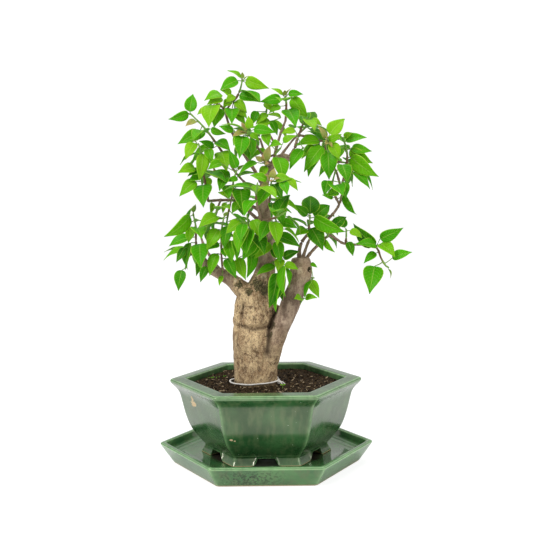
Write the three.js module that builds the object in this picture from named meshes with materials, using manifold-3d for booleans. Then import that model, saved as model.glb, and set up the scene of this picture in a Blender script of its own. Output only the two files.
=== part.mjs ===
// A bougainvillea bonsai in a glazed hexagonal pot on its saucer, as a standalone three.js example.
// Units are millimetres and +Z is up. The origin is the middle of the saucer's underside. -Y is the tree's
// front and +X its right, which is the side that the long branch reaches out to.

import * as THREE from "three";
import { mergeVertices } from "three/addons/utils/BufferGeometryUtils.js";
import Module from "manifold-3d";

const wasm = await Module();
wasm.setup();

// ---------------------------------------------------------------- driving dimensions

const GAP = 0.3; // left between two pieces that touch
const SEATED = 0.35; // how far a solid that cuts its neighbour is enlarged

// Outlines of the pot and saucer are hexagons with a corner on +X. R is the distance to that corner.
const POT_CORNER = 5; // radius of the rounded corners, seen from above
const SAUCER_CORNER = 6;

const SAUCER_FLOOR = 16;
const SAUCER_PROFILE = [
  // [R, z] from the middle of the underside round to the middle of the floor
  [56, 0], [60, 2.4], [106, 2.4], [110, 0], [126.5, 0], [128.5, 1.6], [138.5, 15], [144.8, 24],
  [146.9, 27], [145.6, 29], [142, 29.8], [138.5, 28.8], [135, 21], [132, 18.4], [122, 17.2],
  [119, SAUCER_FLOOR],
];

const POT_FLOOR_UNDER = 29;
const POT_FLOOR = 37;
const FOOT_BOTTOM = SAUCER_FLOOR + GAP;
const FOOT_INSIDE = 70; // R of the inner side of the foot ring
const POT_OUTSIDE = [
  [FOOT_INSIDE, FOOT_BOTTOM], [90, FOOT_BOTTOM], [86.5, 21.5], [84.3, 26.5], [86.2, 28.6], [94, 37.5],
  [104, 51], [111, 69], [116.8, 92], [119, 99], [123, 105], [127.8, 109.6], [131.2, 113.2],
  [131.6, 115.4], [130, 117.7], [112.5, 118.9],
];
const POT_INSIDE = [[109.3, 118.1], [109.6, 100], [104, 70], [94, 50], [78, POT_FLOOR]];

const FOOT_GAP = { top: 12, bottom: 20.5, roof: 27 }; // half widths of the opening between two feet
const DRAIN_HOLE = { x: 38, radius: 8 };
const DRAIN_SCREEN = { radius: 13, thickness: 1.2, slots: 2, slotWidth: 6, bar: 2.4 };

const SOIL_LEVEL = 110;
const SOIL_MOUND = { x: -13, height: 0.6, spread: 51 }; // the soil rises a little to the trunk
const SOIL_CLEAR = 0.6; // between the soil and the pot's wall
const SOIL_RINGS = 5;
const SOIL_SIDES = 18;

const TRUNK_SIDES = 18;
// Level sections of the main trunk, from the stump in the soil to where the leader goes on:
// [z, centre x, centre y, half width, half depth]
const TRUNK_SECTIONS = [
  [72, -13, 0, 19, 18], [84, -13, 0, 25, 23], [98, -13.5, 0, 29, 27], [108, -13.5, 0, 29.6, 27.6],
  [118, -13.3, 0, 28.8, 27], [130, -13, 0, 29, 26.6], [143, -13, 0, 29.2, 26.4], [157, -14.4, 0, 28.6, 26],
  [172, -16, 0, 27.7, 26], [183, -17, 0, 26.6, 25], [190, -17.3, 0, 25.4, 24], [197, -15.8, 0, 26.8, 24.5],
  [207, -14.2, 0, 27, 24.5], [217, -14, 0, 26.2, 23.6], [227, -14.5, 0, 23.6, 21.5],
  [237, -13.5, 0, 20, 18.5], [248, -8, 0, 15.5, 15], [259, -2, 0, 13, 13],
];
// Swellings (+) and hollows (-) of its bark: [angle, z, spread of angle, spread of z, height]. The front is
// at the angle -90.
const TRUNK_LUMPS = [
  [-105, 168, 48, 13, 3.4], [-95, 190, 75, 4, -2.6], [-140, 214, 11, 17, -3], [-112, 208, 22, 12, 2.4],
  [-165, 200, 20, 14, 1.6], [-70, 152, 14, 20, -1.8], [-35, 128, 30, 16, 1.5], [60, 150, 40, 22, 2.6],
  [110, 195, 26, 24, -2.4], [150, 140, 30, 20, 2], [90, 225, 40, 12, 2.2], [-170, 236, 30, 9, 3],
];
const TRUNK_FLUTES = [[3, 0.4, 0.7], [5, 2.1, 0.6], [8, 1.2, 0.4]]; // [waves round, phase, height]

const LIMB_HOLE = { at: [58, -13, 268], into: [-0.75, 0.6, 0.1], radius: 3, depth: 9 };

// Woody limbs and branches, which grow out of the trunk. route: [x, y, z, radius] points of the middle line.
const WOOD = [
  { name: "leader", sides: 8, route: [[-9, 0, 240, 16], [-4, 0, 250, 15], [1, 0, 266, 13.5],
    [4, 2, 290, 11.5], [4, 4, 315, 9.5], [1, 5, 340, 8], [-1, 5, 365, 6.8], [2, 4, 385, 5.8], [9, 2, 403, 5],
    [18, -2, 414, 5.2], [27, -5, 417, 5.8], [36, -6, 415, 4]] },
  { name: "right_limb", sides: 10, route: [[-0.5, -4, 124, 12.2], [6, -9, 146, 13.4], [13, -12, 170, 12.6],
    [21.7, -12, 192, 12.6], [32, -10, 215, 13.2], [41.2, -8, 237, 13], [47, -7, 251, 13.6],
    [49, -6, 262, 15.2], [49, -6, 273, 14.6], [48, -6, 283, 11.5]] },
  { name: "left_limb", sides: 8, route: [[-18, 0, 228, 15], [-31, 0, 240, 12], [-45, -2, 253, 9.4],
    [-60, -4, 262, 8], [-72, -5, 269, 7], [-83, -7, 280, 5.6], [-91, -9, 296, 4]] },
  { name: "stub_twig", sides: 5, route: [[50, -6, 270, 3.6], [58, -7, 284, 2.9], [70, -10, 298, 2.5],
    [86, -10, 312, 2.4], [96, -6, 308, 2.2], [107, -2, 301, 2.1], [125, 0, 299, 1.9], [147, 0, 299, 1.8]] },
  { name: "right_riser", sides: 5, route: [[46, -4, 278, 3.6], [49, -3, 300, 2.9], [60, -4, 315, 2.6],
    [80, -6, 329, 2.4], [93, -6, 342, 2.2], [101, -4, 354, 2.2], [105, 0, 369, 2.1], [102, 3, 382, 2],
    [98, 8, 397, 1.9], [92, 18, 408, 1.8], [88, 34, 419, 1.7]] },
  { name: "left_branch", sides: 5, route: [[3, 4, 338, 3.6], [-15, 2, 352, 2.9], [-37, 0, 360, 2.4],
    [-58, -2, 361, 2.4], [-75, -2, 360, 2.2]] },
  { name: "upper_left", sides: 5, route: [[-1, 4, 366, 3.2], [-14, 2, 377, 2.4], [-25, 0, 384, 2.1],
    [-37, -3, 397, 1.8]] },
  { name: "apex_branch", sides: 5, route: [[0, 5, 378, 3.5], [-12, 8, 400, 2.9], [-28, 10, 425, 2.5],
    [-42, 6, 452, 2.2], [-49, 2, 476, 2], [-42, 0, 491, 1.7]] },
  { name: "second_apex", sides: 5, route: [[13, 1, 408, 3.2], [17, 2, 428, 2.4], [23, 2, 448, 2.1],
    [30, 2, 466, 1.8]] },
  { name: "upper_right", sides: 5, route: [[33, -6, 415, 3.2], [42, -6, 430, 2.6], [47, -4, 445, 2.2],
    [58, -2, 444, 2], [72, 0, 440, 1.7]] },
  { name: "front_top", sides: 5, route: [[11, 0, 406, 3.2], [2, -12, 417, 2.2], [-7, -18, 430, 1.7]] },
  { name: "front_mid", sides: 5, route: [[2, 2, 308, 4], [0, -26, 322, 2.7], [-4, -48, 336, 2.2],
    [-8, -62, 352, 1.8]] },
  { name: "back_mid", sides: 5, route: [[3, 4, 296, 4], [0, 28, 318, 2.9], [-4, 52, 338, 2.4],
    [-6, 72, 362, 1.8]] },
  { name: "back_left", sides: 5, route: [[0, 5, 326, 3.7], [-22, 30, 345, 2.7], [-44, 48, 365, 2.2],
    [-60, 58, 385, 1.8]] },
  { name: "back_right", sides: 5, route: [[9, 3, 400, 3.2], [24, 24, 420, 2.4], [40, 40, 440, 1.8]] },
  { name: "back_top", sides: 5, route: [[5, 4, 392, 3.2], [2, 24, 420, 2.4], [-4, 38, 442, 1.8]] },
  { name: "limb_back", sides: 5, route: [[-58, -3, 262, 3.6], [-72, 18, 280, 2.6], [-84, 36, 298, 2.2],
    [-90, 46, 316, 1.7]] },
  { name: "stub_back", sides: 5, route: [[49, -3, 274, 3.6], [58, 20, 296, 2.6], [66, 36, 312, 1.8]] },
];
const WOOD_STEPS = 1; // sections for each stretch between two points of a route

const TIE = { z: 114.8, tilt: 1.8, radius: 1.1, clear: 0.7, loose: 4.5, looseAt: 162, sides: 4, steps: 24 };
const KNOT = { angle: -24, radius: 2.4, out: 1.6, down: 1.4, ends: [[8, -3, -2], [4, -8, -1.8]] };

// Leafy shoots. route: points of the stem, the first of them near the wood that it grows from. leaves: those
// that show at the front, [base x, base z, tip x, tip z, width]. more: how many others the rule in ruledLeaf
// sets round the stem. tuft: small young leaves round the bud.
const SHOOTS = [
  { name: "upper_left", tuft: 1, more: 1,
    route: [[-38, -3, 398], [-56, -6, 427], [-76, -6, 455], [-95, -4, 475]],
    leaves: [[-97, 479, -93, 503, 17], [-99, 477, -126, 469, 7], [-89, 466, -103, 459, 11],
      [-85, 452, -114, 436, 14], [-69, 456, -49, 449, 6], [-70, 433, -97, 407, 16],
      [-62, 439, -43, 426, 17], [-56, 427, -48, 399, 23], [-76, 453, -89, 440, 12],
      [-66, 431, -86, 440, 11]] },
  { name: "left", tuft: 1, more: 2,
    route: [[-74, -2, 361], [-76, -10, 375], [-80, -18, 399], [-81, -20, 420], [-85, -20, 435]],
    leaves: [[-80, 382, -79, 353, 25], [-90, 387, -112, 367, 17], [-91, 405, -113, 398, 16],
      [-79, 423, -85, 387, 18], [-90, 437, -102, 415, 17], [-73, 429, -67, 411, 13],
      [-71, 391, -77, 375, 11], [-81, 402, -101, 393, 12], [-84, 393, -100, 388, 11],
      [-69, 358, -72, 342, 7]] },
  { name: "left_inner", tuft: 1, more: 2,
    route: [[-37, -2, 361], [-40, -16, 371], [-40, -26, 386], [-36, -30, 399]],
    leaves: [[-44, 392, -74, 395, 17], [-50, 381, -45, 363, 15], [-31, 376, -28, 347, 25],
      [-36, 404, -45, 428, 13], [-50, 392, -58, 374, 16], [-34, 390, -49, 386, 9],
      [-47, 366, -61, 372, 11], [-34, 358, -43, 343, 12], [-33, 355, -28, 340, 9],
      [-51, 358, -55, 343, 7], [-56, 411, -73, 402, 14]] },
  { name: "apex", tuft: 3, more: 1,
    route: [[-42, -1, 490], [-35, -3, 497], [-30, -3, 507], [-27, -2, 519]],
    leaves: [[-29, 523, -47, 532, 9], [-22, 520, 9, 508, 10], [-33, 519, -57, 506, 18],
      [-41, 482, -41, 461, 20], [-37, 493, -21, 476, 13], [-32, 500, -3, 490, 15],
      [-23, 517, -11, 508, 8], [-42, 501, -56, 507, 11], [-37, 499, -50, 489, 11],
      [-37, 477, -23, 460, 12], [-36, 483, -21, 468, 13]] },
  { name: "apex_left", tuft: 0, more: 1,
    route: [[-49, -1, 478], [-56, -6, 486], [-65, -10, 490], [-71, -12, 486]],
    leaves: [[-55, 501, -77, 492, 17], [-57, 484, -65, 457, 20], [-74, 482, -87, 474, 9],
      [-71, 479, -72, 460, 12], [-54, 496, -74, 487, 15], [-43, 493, -53, 483, 12]] },
  { name: "apex_right", tuft: 3, more: 1,
    route: [[30, 2, 468], [31, -2, 481], [31, -3, 491], [30, -3, 496]],
    leaves: [[26, 500, 11, 508, 8], [34, 501, 54, 500, 9], [24, 495, -4, 491, 12],
      [39, 496, 61, 468, 13], [33, 481, 43, 456, 24], [23, 485, 8, 476, 12]] },
  { name: "rosette_left", tuft: 2, more: 0,
    route: [[-8, -19, 431], [-14, -26, 441], [-20, -34, 450]],
    leaves: [[-18, 455, -19, 472, 11], [-25, 450, -40, 445, 11], [-17, 449, -5, 439, 9],
      [-12, 454, 17, 449, 14], [-27, 445, -31, 416, 21], [-25, 453, -55, 460, 9],
      [-32, 448, -39, 433, 9], [-39, 452, -58, 459, 9], [-17, 444, -15, 418, 13]] },
  { name: "rosette_centre", tuft: 2, more: 0,
    route: [[10, -2, 407], [6, -18, 408], [1, -32, 410]],
    leaves: [[3, 413, 9, 434, 11], [-2, 412, -11, 419, 8], [-9, 411, -32, 396, 13], [4, 407, -4, 388, 12]] },
  { name: "star", tuft: 3, more: 2,
    route: [[5, -4, 348], [8, -34, 365], [9, -50, 379], [10, -58, 387]],
    leaves: [[11, 391, 14, 404, 9], [4, 389, -18, 395, 13], [6, 383, -5, 380, 8], [15, 390, 36, 390, 13],
      [13, 383, 24, 363, 16], [6, 377, -9, 354, 21], [30, 390, 44, 374, 11], [15, 363, 45, 347, 16],
      [15, 351, 37, 343, 11], [25, 386, 30, 369, 13]] },
  { name: "right", tuft: 3, more: 0,
    route: [[73, 0, 440], [79, -14, 438], [84, -26, 439]],
    leaves: [[87, 447, 108, 467, 20], [76, 439, 42, 432, 19], [78, 431, 53, 397, 21],
      [85, 423, 86, 387, 23], [88, 435, 100, 413, 16], [72, 427, 59, 391, 18], [81, 427, 73, 390, 12],
      [67, 433, 51, 414, 12], [84, 438, 103, 447, 9], [82, 440, 72, 458, 10]] },
  { name: "right_outer", tuft: 1, more: 3,
    route: [[104, 0, 376], [109, -2, 397], [112, -2, 416], [110, -2, 431], [106, -4, 441]],
    leaves: [[109, 438, 138, 442, 16], [118, 429, 145, 424, 11], [117, 417, 154, 390, 14],
      [116, 427, 147, 408, 11], [120, 397, 142, 373, 16], [104, 429, 94, 409, 15],
      [125, 402, 148, 371, 14], [106, 442, 119, 449, 9]] },
  { name: "right_low", tuft: 0, more: 1,
    route: [[101, -4, 355], [94, -12, 368], [91, -20, 382], [94, -26, 397]],
    leaves: [[103, 407, 109, 382, 20], [106, 384, 108, 362, 13], [85, 386, 79, 366, 15],
      [92, 363, 77, 367, 9], [108, 367, 124, 340, 6], [98, 371, 81, 366, 13]] },
  { name: "lower_left", tuft: 1, more: 1,
    route: [[-91, -10, 295], [-91, -18, 309], [-91, -18, 327], [-94, -16, 343]],
    leaves: [[-102, 332, -94, 353, 8], [-98, 341, -132, 315, 12], [-97, 326, -101, 305, 13],
      [-100, 312, -128, 300, 17], [-86, 303, -84, 272, 24], [-98, 305, -103, 268, 14],
      [-107, 298, -118, 279, 10], [-90, 280, -92, 260, 8]] },
  { name: "limb_tip", tuft: 0, more: 0,
    route: [[-88, -8, 290], [-98, -10, 290], [-104, -10, 281], [-106, -9, 271]],
    leaves: [[-104, 295, -137, 280, 14], [-111, 268, -116, 240, 16]] },
  { name: "left_low", tuft: 1, more: 1,
    route: [[-55, -4, 259], [-57, -16, 279], [-57, -26, 301], [-56, -32, 323], [-53, -34, 339]],
    leaves: [[-61, 341, -86, 327, 20], [-60, 324, -76, 297, 18], [-48, 328, -53, 298, 16],
      [-48, 309, -43, 279, 16], [-63, 291, -73, 261, 15], [-51, 284, -38, 257, 16],
      [-60, 305, -76, 297, 12], [-56, 300, -51, 286, 9], [-57, 260, -61, 247, 7]] },
  { name: "low_centre", tuft: 0, more: 1,
    route: [[-2, -6, 297], [-11, -28, 312], [-19, -40, 326], [-22, -46, 342]],
    leaves: [[-24, 324, -27, 292, 18], [-12, 306, -30, 281, 17], [-31, 334, -50, 319, 16],
      [-14, 337, -3, 312, 16], [-8, 305, -19, 284, 15], [-17, 295, -24, 257, 12],
      [-12, 290, -21, 262, 11], [-41, 310, -37, 282, 9], [-35, 284, -25, 254, 15]] },
  { name: "front_low", tuft: 0, more: 0,
    route: [[6, -6, 305], [11, -26, 312], [17, -38, 323], [15, -44, 338]],
    leaves: [[17, 314, 48, 299, 18], [8, 303, -14, 283, 17], [17, 307, 21, 277, 16],
      [5, 334, -7, 309, 17], [21, 334, 44, 325, 14], [26, 324, 45, 306, 9]] },
  { name: "hanging", tuft: 0, more: 0,
    route: [[8, -8, 276], [16, -24, 279], [22, -31, 273]],
    leaves: [[17, 265, 5, 219, 21], [24, 264, 24, 227, 16], [14, 273, -12, 260, 14],
      [27, 277, 45, 270, 11], [20, 285, 8, 301, 15], [22, 283, 17, 266, 14], [25, 285, 47, 294, 13],
      [26, 275, 27, 235, 11], [22, 256, 15, 213, 13], [27, 272, 31, 245, 9]] },
  { name: "right_centre", tuft: 1, more: 0,
    route: [[60, -5, 317], [60, -13, 326], [61, -18, 337]],
    leaves: [[61, 342, 63, 365, 25], [67, 338, 89, 352, 21], [57, 340, 39, 355, 13],
      [67, 338, 108, 319, 12], [63, 323, 78, 293, 23], [57, 326, 29, 335, 11], [56, 322, 40, 313, 15]] },
  { name: "right_inner", tuft: 0, more: 0,
    route: [[74, -10, 302], [84, -16, 312], [89, -12, 323]],
    leaves: [[81, 307, 94, 291, 5], [72, 293, 72, 267, 13], [93, 324, 111, 337, 16],
      [84, 324, 73, 340, 13]] },
  { name: "limb_sprout", tuft: 0, more: 0,
    route: [[46, -14, 222], [51, -22, 229]],
    leaves: [[50, 230, 38, 231, 12], [54, 230, 70, 231, 11]] },
  { name: "stub_sprout", tuft: 0, more: 0,
    route: [[55, -8, 256], [65, -13, 256]],
    leaves: [[61, 253, 73, 229, 13], [62, 276, 71, 270, 5], [62, 252, 53, 231, 9]] },
  { name: "far_right", tuft: 1, more: 0,
    route: [[146, 0, 299], [153, -4, 292], [157, -5, 281], [163, -5, 271], [166, -5, 269]],
    leaves: [[150, 297, 120, 328, 14], [156, 307, 187, 322, 14], [156, 300, 174, 283, 20],
      [172, 281, 199, 289, 15], [150, 299, 120, 302, 15], [148, 270, 139, 235, 27],
      [150, 288, 133, 274, 12]] },
  { name: "long_right", tuft: 0, more: 0,
    route: [[109, -1, 301], [110, -7, 310], [110, -9, 319]],
    leaves: [[112, 304, 119, 284, 12], [108, 323, 100, 339, 12], [115, 319, 131, 309, 12]] },
  { name: "front_mid_top", tuft: 0, more: 4,
    route: [[-8, -62, 352], [-10, -72, 368], [-8, -78, 384]],
    leaves: [] },
  { name: "front_mid_right", tuft: 0, more: 4,
    route: [[-4, -48, 336], [14, -60, 340], [28, -66, 348]],
    leaves: [] },
  { name: "front_mid_left", tuft: 0, more: 4,
    route: [[0, -26, 322], [-16, -46, 328], [-30, -58, 338]],
    leaves: [] },
  { name: "left_front", tuft: 0, more: 3,
    route: [[-58, -2, 361], [-62, -22, 350], [-66, -36, 336]],
    leaves: [] },
  { name: "centre_top", tuft: 0, more: 1,
    route: [[2, -12, 417], [14, -30, 421], [22, -40, 429]],
    leaves: [[10, 434, 25, 433, 12], [3, 427, -17, 414, 11], [26, 437, 44, 445, 11], [1, 448, 7, 431, 13]] },
  { name: "right_front", tuft: 0, more: 0,
    route: [[36, -6, 416], [44, -18, 421], [52, -26, 429]],
    leaves: [[42, 452, 23, 448, 11], [52, 429, 34, 401, 16]] },
  { name: "right_top", tuft: 0, more: 3,
    route: [[47, -4, 446], [52, -7, 459], [58, -9, 469]],
    leaves: [[64, 466, 78, 458, 10]] },
  { name: "top_mid", tuft: 0, more: 0,
    route: [[17, 2, 430], [8, 8, 450], [4, 10, 470], [6, 10, 488]],
    leaves: [[-8, 479, -15, 460, 12], [7, 475, -10, 461, 12], [2, 490, 15, 476, 11],
      [9, 466, -11, 456, 13], [12, 466, 33, 439, 13], [24, 470, 4, 474, 10], [11, 466, 19, 446, 11]] },
  { name: "left_top", tuft: 0, more: 2,
    route: [[-28, 10, 425], [-34, -8, 438], [-38, -18, 452]],
    leaves: [] },
  { name: "back_mid", tuft: 0, more: 4,
    route: [[-6, 72, 362], [-8, 86, 358], [-8, 98, 350]],
    leaves: [] },
  { name: "back_mid_low", tuft: 0, more: 4,
    route: [[-4, 52, 338], [-14, 70, 328], [-24, 82, 314]],
    leaves: [] },
  { name: "back_left", tuft: 0, more: 4,
    route: [[-60, 58, 385], [-70, 64, 404], [-72, 66, 424]],
    leaves: [] },
  { name: "back_left_low", tuft: 0, more: 3,
    route: [[-44, 48, 365], [-50, 58, 340], [-54, 64, 318]],
    leaves: [] },
  { name: "back_right", tuft: 0, more: 4,
    route: [[40, 40, 440], [52, 48, 452], [64, 52, 462]],
    leaves: [] },
  { name: "back_top", tuft: 0, more: 4,
    route: [[-4, 38, 442], [-14, 46, 446], [-24, 52, 448]],
    leaves: [] },
  { name: "limb_back", tuft: 0, more: 3,
    route: [[-90, 46, 316], [-84, 56, 322], [-74, 60, 326]],
    leaves: [] },
  { name: "limb_back_low", tuft: 0, more: 3,
    route: [[-84, 36, 298], [-98, 48, 290], [-108, 56, 280]],
    leaves: [] },
  { name: "stub_back", tuft: 0, more: 4,
    route: [[66, 36, 312], [76, 44, 322], [86, 48, 334]],
    leaves: [] },
  { name: "right_back", tuft: 0, more: 4,
    route: [[88, 36, 420], [86, 48, 432], [92, 58, 440]],
    leaves: [] },
  { name: "right_back_low", tuft: 0, more: 4,
    route: [[92, 18, 408], [104, 34, 410], [118, 44, 408]],
    leaves: [] },
  { name: "limb_low", tuft: 0, more: 0,
    route: [[-79, -10, 274], [-80, -17, 270]],
    leaves: [[-77, 273, -86, 252, 12]] },
];

const STEM = { base: 1.6, tip: 1, sides: 4, steps: 1, bud: 3, apart: 3, bare: 1.8 };
const LEAF = {
  thickness: 0.7, petiole: 0.5, fold: 0.3, arch: 0.1, long: 1.5, slim: 0.5,
  smallest: 18, // blades shorter than this have one section, and the others two
  folded: 38, // blades longer than this are folded along the midrib
  sections: [[0.27, 0.5], [0.64, 0.34]], // [place along the midrib, half width as a share of the width]
  smallSection: [0.42, 0.5],
};
const CLEARANCE = 0.4; // kept between a leaf and the pieces beside it
const GOLDEN_ANGLE = 137.5; // turn from one leaf to the next round a stem
const TRIES = 9;
// How the three kinds of leaf are set. A value named ...Draw is added times a number from 0 to 1 that is
// drawn for each leaf, and one named ...Try is added again each time that the leaf has to move to a clear
// place.
const FRONT_LEAF = {
  nearer: 2, lean: 0.12, baseTry: 3, tipTry: 5, petiole: 4, rollDraw: 0.3,
  rising: 0.5, // one that rises more steeply than this leans back, and the others lean forward
};
const RULED_LEAF = {
  first: 0.3, last: 0.92, turnDraw: 36, turnTry: 40, ahead: 0.35, droop: 0.15, droopDraw: 0.5, droopTry: 0.06,
  petiole: 5, petioleDraw: 3, petioleAhead: 0.5, length: 31, lengthDraw: 11, shorter: 6, width: 0.56,
  widthDraw: 0.12, upOutward: 0.35, upAhead: 0.3,
};
const YOUNG_LEAF = {
  turnDraw: 300, turnTry: 35, petiole: 2.2, petioleAhead: 2.6, ahead: 0.9, length: 9, lengthDraw: 5,
  width: 0.5, upOutward: -0.4,
};

const LOOKS = {
  glaze: { color: 0x3f7f57, roughness: 0.18, metalness: 0 },
  saucerGlaze: { color: 0x4a8a60, roughness: 0.16, metalness: 0 },
  soil: { color: 0x3b2a1f, roughness: 0.95, metalness: 0 },
  bark: { color: 0x93795c, roughness: 0.85, metalness: 0 },
  string: { color: 0xe6e3dc, roughness: 0.8, metalness: 0 },
  screen: { color: 0x2a2c2b, roughness: 0.6, metalness: 0 },
  leaf: { color: 0x4da02a, roughness: 0.45, metalness: 0 },
};

// ---------------------------------------------------------------- small helpers

const vec = (p) => new THREE.Vector3(p[0], p[1], p[2]);
const radians = THREE.MathUtils.degToRad;
const UP = vec([0, 0, 1]);
const FACING = vec([0, -0.8, 0.6]); // the upper sides of the leaves at the front look this way

/** A number from 0 to 1 that depends on the seed alone. */
function draw(seed) {
  const value = Math.sin(seed * 12.9898 + 78.233) * 43758.5453;
  return value - Math.floor(value);
}

/** A closed solid from a list of points and a list of triangles. */
function solidOf(points, triangles) {
  return new wasm.Manifold(new wasm.Mesh({
    numProp: 3,
    vertProperties: new Float32Array(points.flatMap((p) => [p.x, p.y, p.z])),
    triVerts: new Uint32Array(triangles.flat()),
  }));
}

/** A solid from a closed three.js geometry. */
function solidOfGeometry(geometry) {
  geometry.deleteAttribute("normal");
  geometry.deleteAttribute("uv");
  const merged = mergeVertices(geometry, 1e-4);
  return new wasm.Manifold(new wasm.Mesh({
    numProp: 3,
    vertProperties: new Float32Array(merged.attributes.position.array),
    triVerts: new Uint32Array(merged.index.array),
  }));
}

/** The largest body of a solid, without the scraps that a cut left. */
function largestBody(solid) {
  return solid.decompose().reduce((a, b) => (b.volume() > a.volume() ? b : a));
}

/** A named mesh from a solid. */
function pieceOf(name, solid, look) {
  const mesh = solid.getMesh();
  const geometry = new THREE.BufferGeometry();
  geometry.setAttribute("position", new THREE.BufferAttribute(new Float32Array(mesh.vertProperties), 3));
  geometry.setIndex(new THREE.BufferAttribute(new Uint32Array(mesh.triVerts), 1));
  geometry.computeVertexNormals();
  const piece = new THREE.Mesh(geometry, new THREE.MeshStandardMaterial({ ...look, flatShading: true }));
  piece.name = name;
  return piece;
}

/** A solid through rings of points that turn anticlockwise about their way. It may end in a point. */
function loft(rings, { closed = false, point = null } = {}) {
  const count = rings[0].length;
  const points = rings.flat();
  const triangles = [];
  const bands = closed ? rings.length : rings.length - 1;
  for (let r = 0; r < bands; r++) {
    const low = r * count;
    const high = ((r + 1) % rings.length) * count;
    for (let i = 0; i < count; i++) {
      const j = (i + 1) % count;
      triangles.push([low + i, low + j, high + j], [low + i, high + j, high + i]);
    }
  }
  const last = (rings.length - 1) * count;
  for (let i = 1; i < count - 1 && !closed; i++) {
    triangles.push([0, i + 1, i]);
    if (!point) triangles.push([last, last + i, last + i + 1]);
  }
  for (let i = 0; i < count && point; i++) {
    triangles.push([last + i, last + ((i + 1) % count), points.length]);
  }
  return solidOf(point ? [...points, point] : points, triangles);
}

/** Two unit vectors square to a direction, the second of them as near to a hint as it can be. */
function frameAlong(direction, hint) {
  const up = hint.clone().addScaledVector(direction, -hint.dot(direction));
  if (up.length() < 1e-3) up.set(direction.z, direction.x, direction.y).cross(direction);
  up.normalize();
  return [direction.clone().cross(up), up];
}

/** A round ring of points about a centre, square to a direction. */
function ringAcross(centre, direction, radius, sides) {
  const [side, up] = frameAlong(direction, Math.abs(direction.z) < 0.9 ? UP : vec([1, 0, 0]));
  return Array.from({ length: sides }, (_, i) => {
    const angle = (2 * Math.PI * i) / sides;
    const point = centre.clone().addScaledVector(up, radius * Math.cos(angle));
    return point.addScaledVector(side, radius * Math.sin(angle));
  });
}

/** Points and radii along a smooth curve through [x, y, z, radius] points. */
function smoothRoute(route, steps) {
  const curve = new THREE.CatmullRomCurve3(route.map(vec), false, "catmullrom", 0.5);
  const spans = route.length - 1;
  return Array.from({ length: spans * steps + 1 }, (_, i) => {
    const place = i / (spans * steps);
    const from = Math.min(Math.floor(place * spans), spans - 1);
    const share = place * spans - from;
    return {
      at: curve.getPoint(place),
      along: curve.getTangent(place),
      radius: THREE.MathUtils.lerp(route[from][3], route[from + 1][3], share),
    };
  });
}

/** A tapering tube along a route of [x, y, z, radius] points. A fatter one is also longer at its end. */
function tube(route, sides, steps, fatter = 0) {
  const places = smoothRoute(route, steps);
  const last = places.at(-1);
  last.at.addScaledVector(last.along, fatter);
  return loft(places.map((s) => ringAcross(s.at, s.along, s.radius + fatter, sides)));
}

// ---------------------------------------------------------------- pot, saucer and what is in the pot

/** A level ring round a hexagon with rounded corners, three points to a corner. */
function hexagonRing(reach, corner, z) {
  const centre = reach - corner / Math.cos(Math.PI / 6);
  return Array.from({ length: 18 }, (_, i) => {
    const towards = Math.floor(i / 3) * (Math.PI / 3);
    const round = towards + ((i % 3) - 1) * (Math.PI / 6);
    return new THREE.Vector3(
      centre * Math.cos(towards) + corner * Math.cos(round),
      centre * Math.sin(towards) + corner * Math.sin(round),
      z,
    );
  });
}

/** A solid turned from a [R, z] profile that starts and ends on a flat middle. */
function hexagonTurned(profile, corner) {
  return loft(profile.map(([reach, z]) => hexagonRing(reach, corner, z)));
}

function saucer() {
  return pieceOf("saucer", hexagonTurned(SAUCER_PROFILE, SAUCER_CORNER), LOOKS.saucerGlaze);
}

/** The prism that opens the foot ring through two opposite flats, before it is turned to them. */
function footOpening() {
  const { top, bottom, roof } = FOOT_GAP;
  const under = FOOT_BOTTOM - 1;
  const shape = new THREE.Shape();
  shape.moveTo(-bottom, under);
  shape.quadraticCurveTo(-bottom + 7, under + 2, -top, roof);
  shape.lineTo(top, roof);
  shape.quadraticCurveTo(bottom - 7, under + 2, bottom, under);
  const length = 240;
  const options = { depth: length, bevelEnabled: false, curveSegments: 3 };
  const geometry = new THREE.ExtrudeGeometry(shape, options);
  geometry.translate(0, 0, -length / 2);
  geometry.rotateX(Math.PI / 2);
  return geometry;
}

/** A round pin or hole from z0 up to z1. */
function disc(x, y, radius, z0, z1, sides = 16) {
  const geometry = new THREE.CylinderGeometry(radius, radius, z1 - z0, sides);
  geometry.rotateX(Math.PI / 2);
  geometry.translate(x, y, (z0 + z1) / 2);
  return solidOfGeometry(geometry);
}

function pot() {
  const profile = [[FOOT_INSIDE - 2, POT_FLOOR_UNDER], ...POT_OUTSIDE, ...POT_INSIDE];
  let solid = hexagonTurned(profile, POT_CORNER);
  for (let i = 0; i < 3; i++) {
    solid = solid.subtract(solidOfGeometry(footOpening().rotateZ((i * Math.PI) / 3)));
  }
  for (const side of [-1, 1]) {
    const hole = disc(side * DRAIN_HOLE.x, 0, DRAIN_HOLE.radius, POT_FLOOR_UNDER - 1, POT_FLOOR + 1);
    solid = solid.subtract(hole);
  }
  return pieceOf("pot", solid, LOOKS.glaze);
}

/** A flat plastic mesh disc over a drain hole. */
function drainScreen(name, x) {
  const { radius, thickness, slots, slotWidth, bar } = DRAIN_SCREEN;
  const bottom = POT_FLOOR + GAP;
  let solid = disc(x, 0, radius, bottom, bottom + thickness);
  const pitch = slotWidth + bar;
  for (let i = 0; i < slots; i++) {
    for (let j = 0; j < slots; j++) {
      const geometry = new THREE.BoxGeometry(slotWidth, slotWidth, 4 * thickness);
      geometry.translate(x + (i - (slots - 1) / 2) * pitch, (j - (slots - 1) / 2) * pitch, bottom);
      solid = solid.subtract(solidOfGeometry(geometry));
    }
  }
  return pieceOf(name, solid, LOOKS.screen);
}

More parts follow.
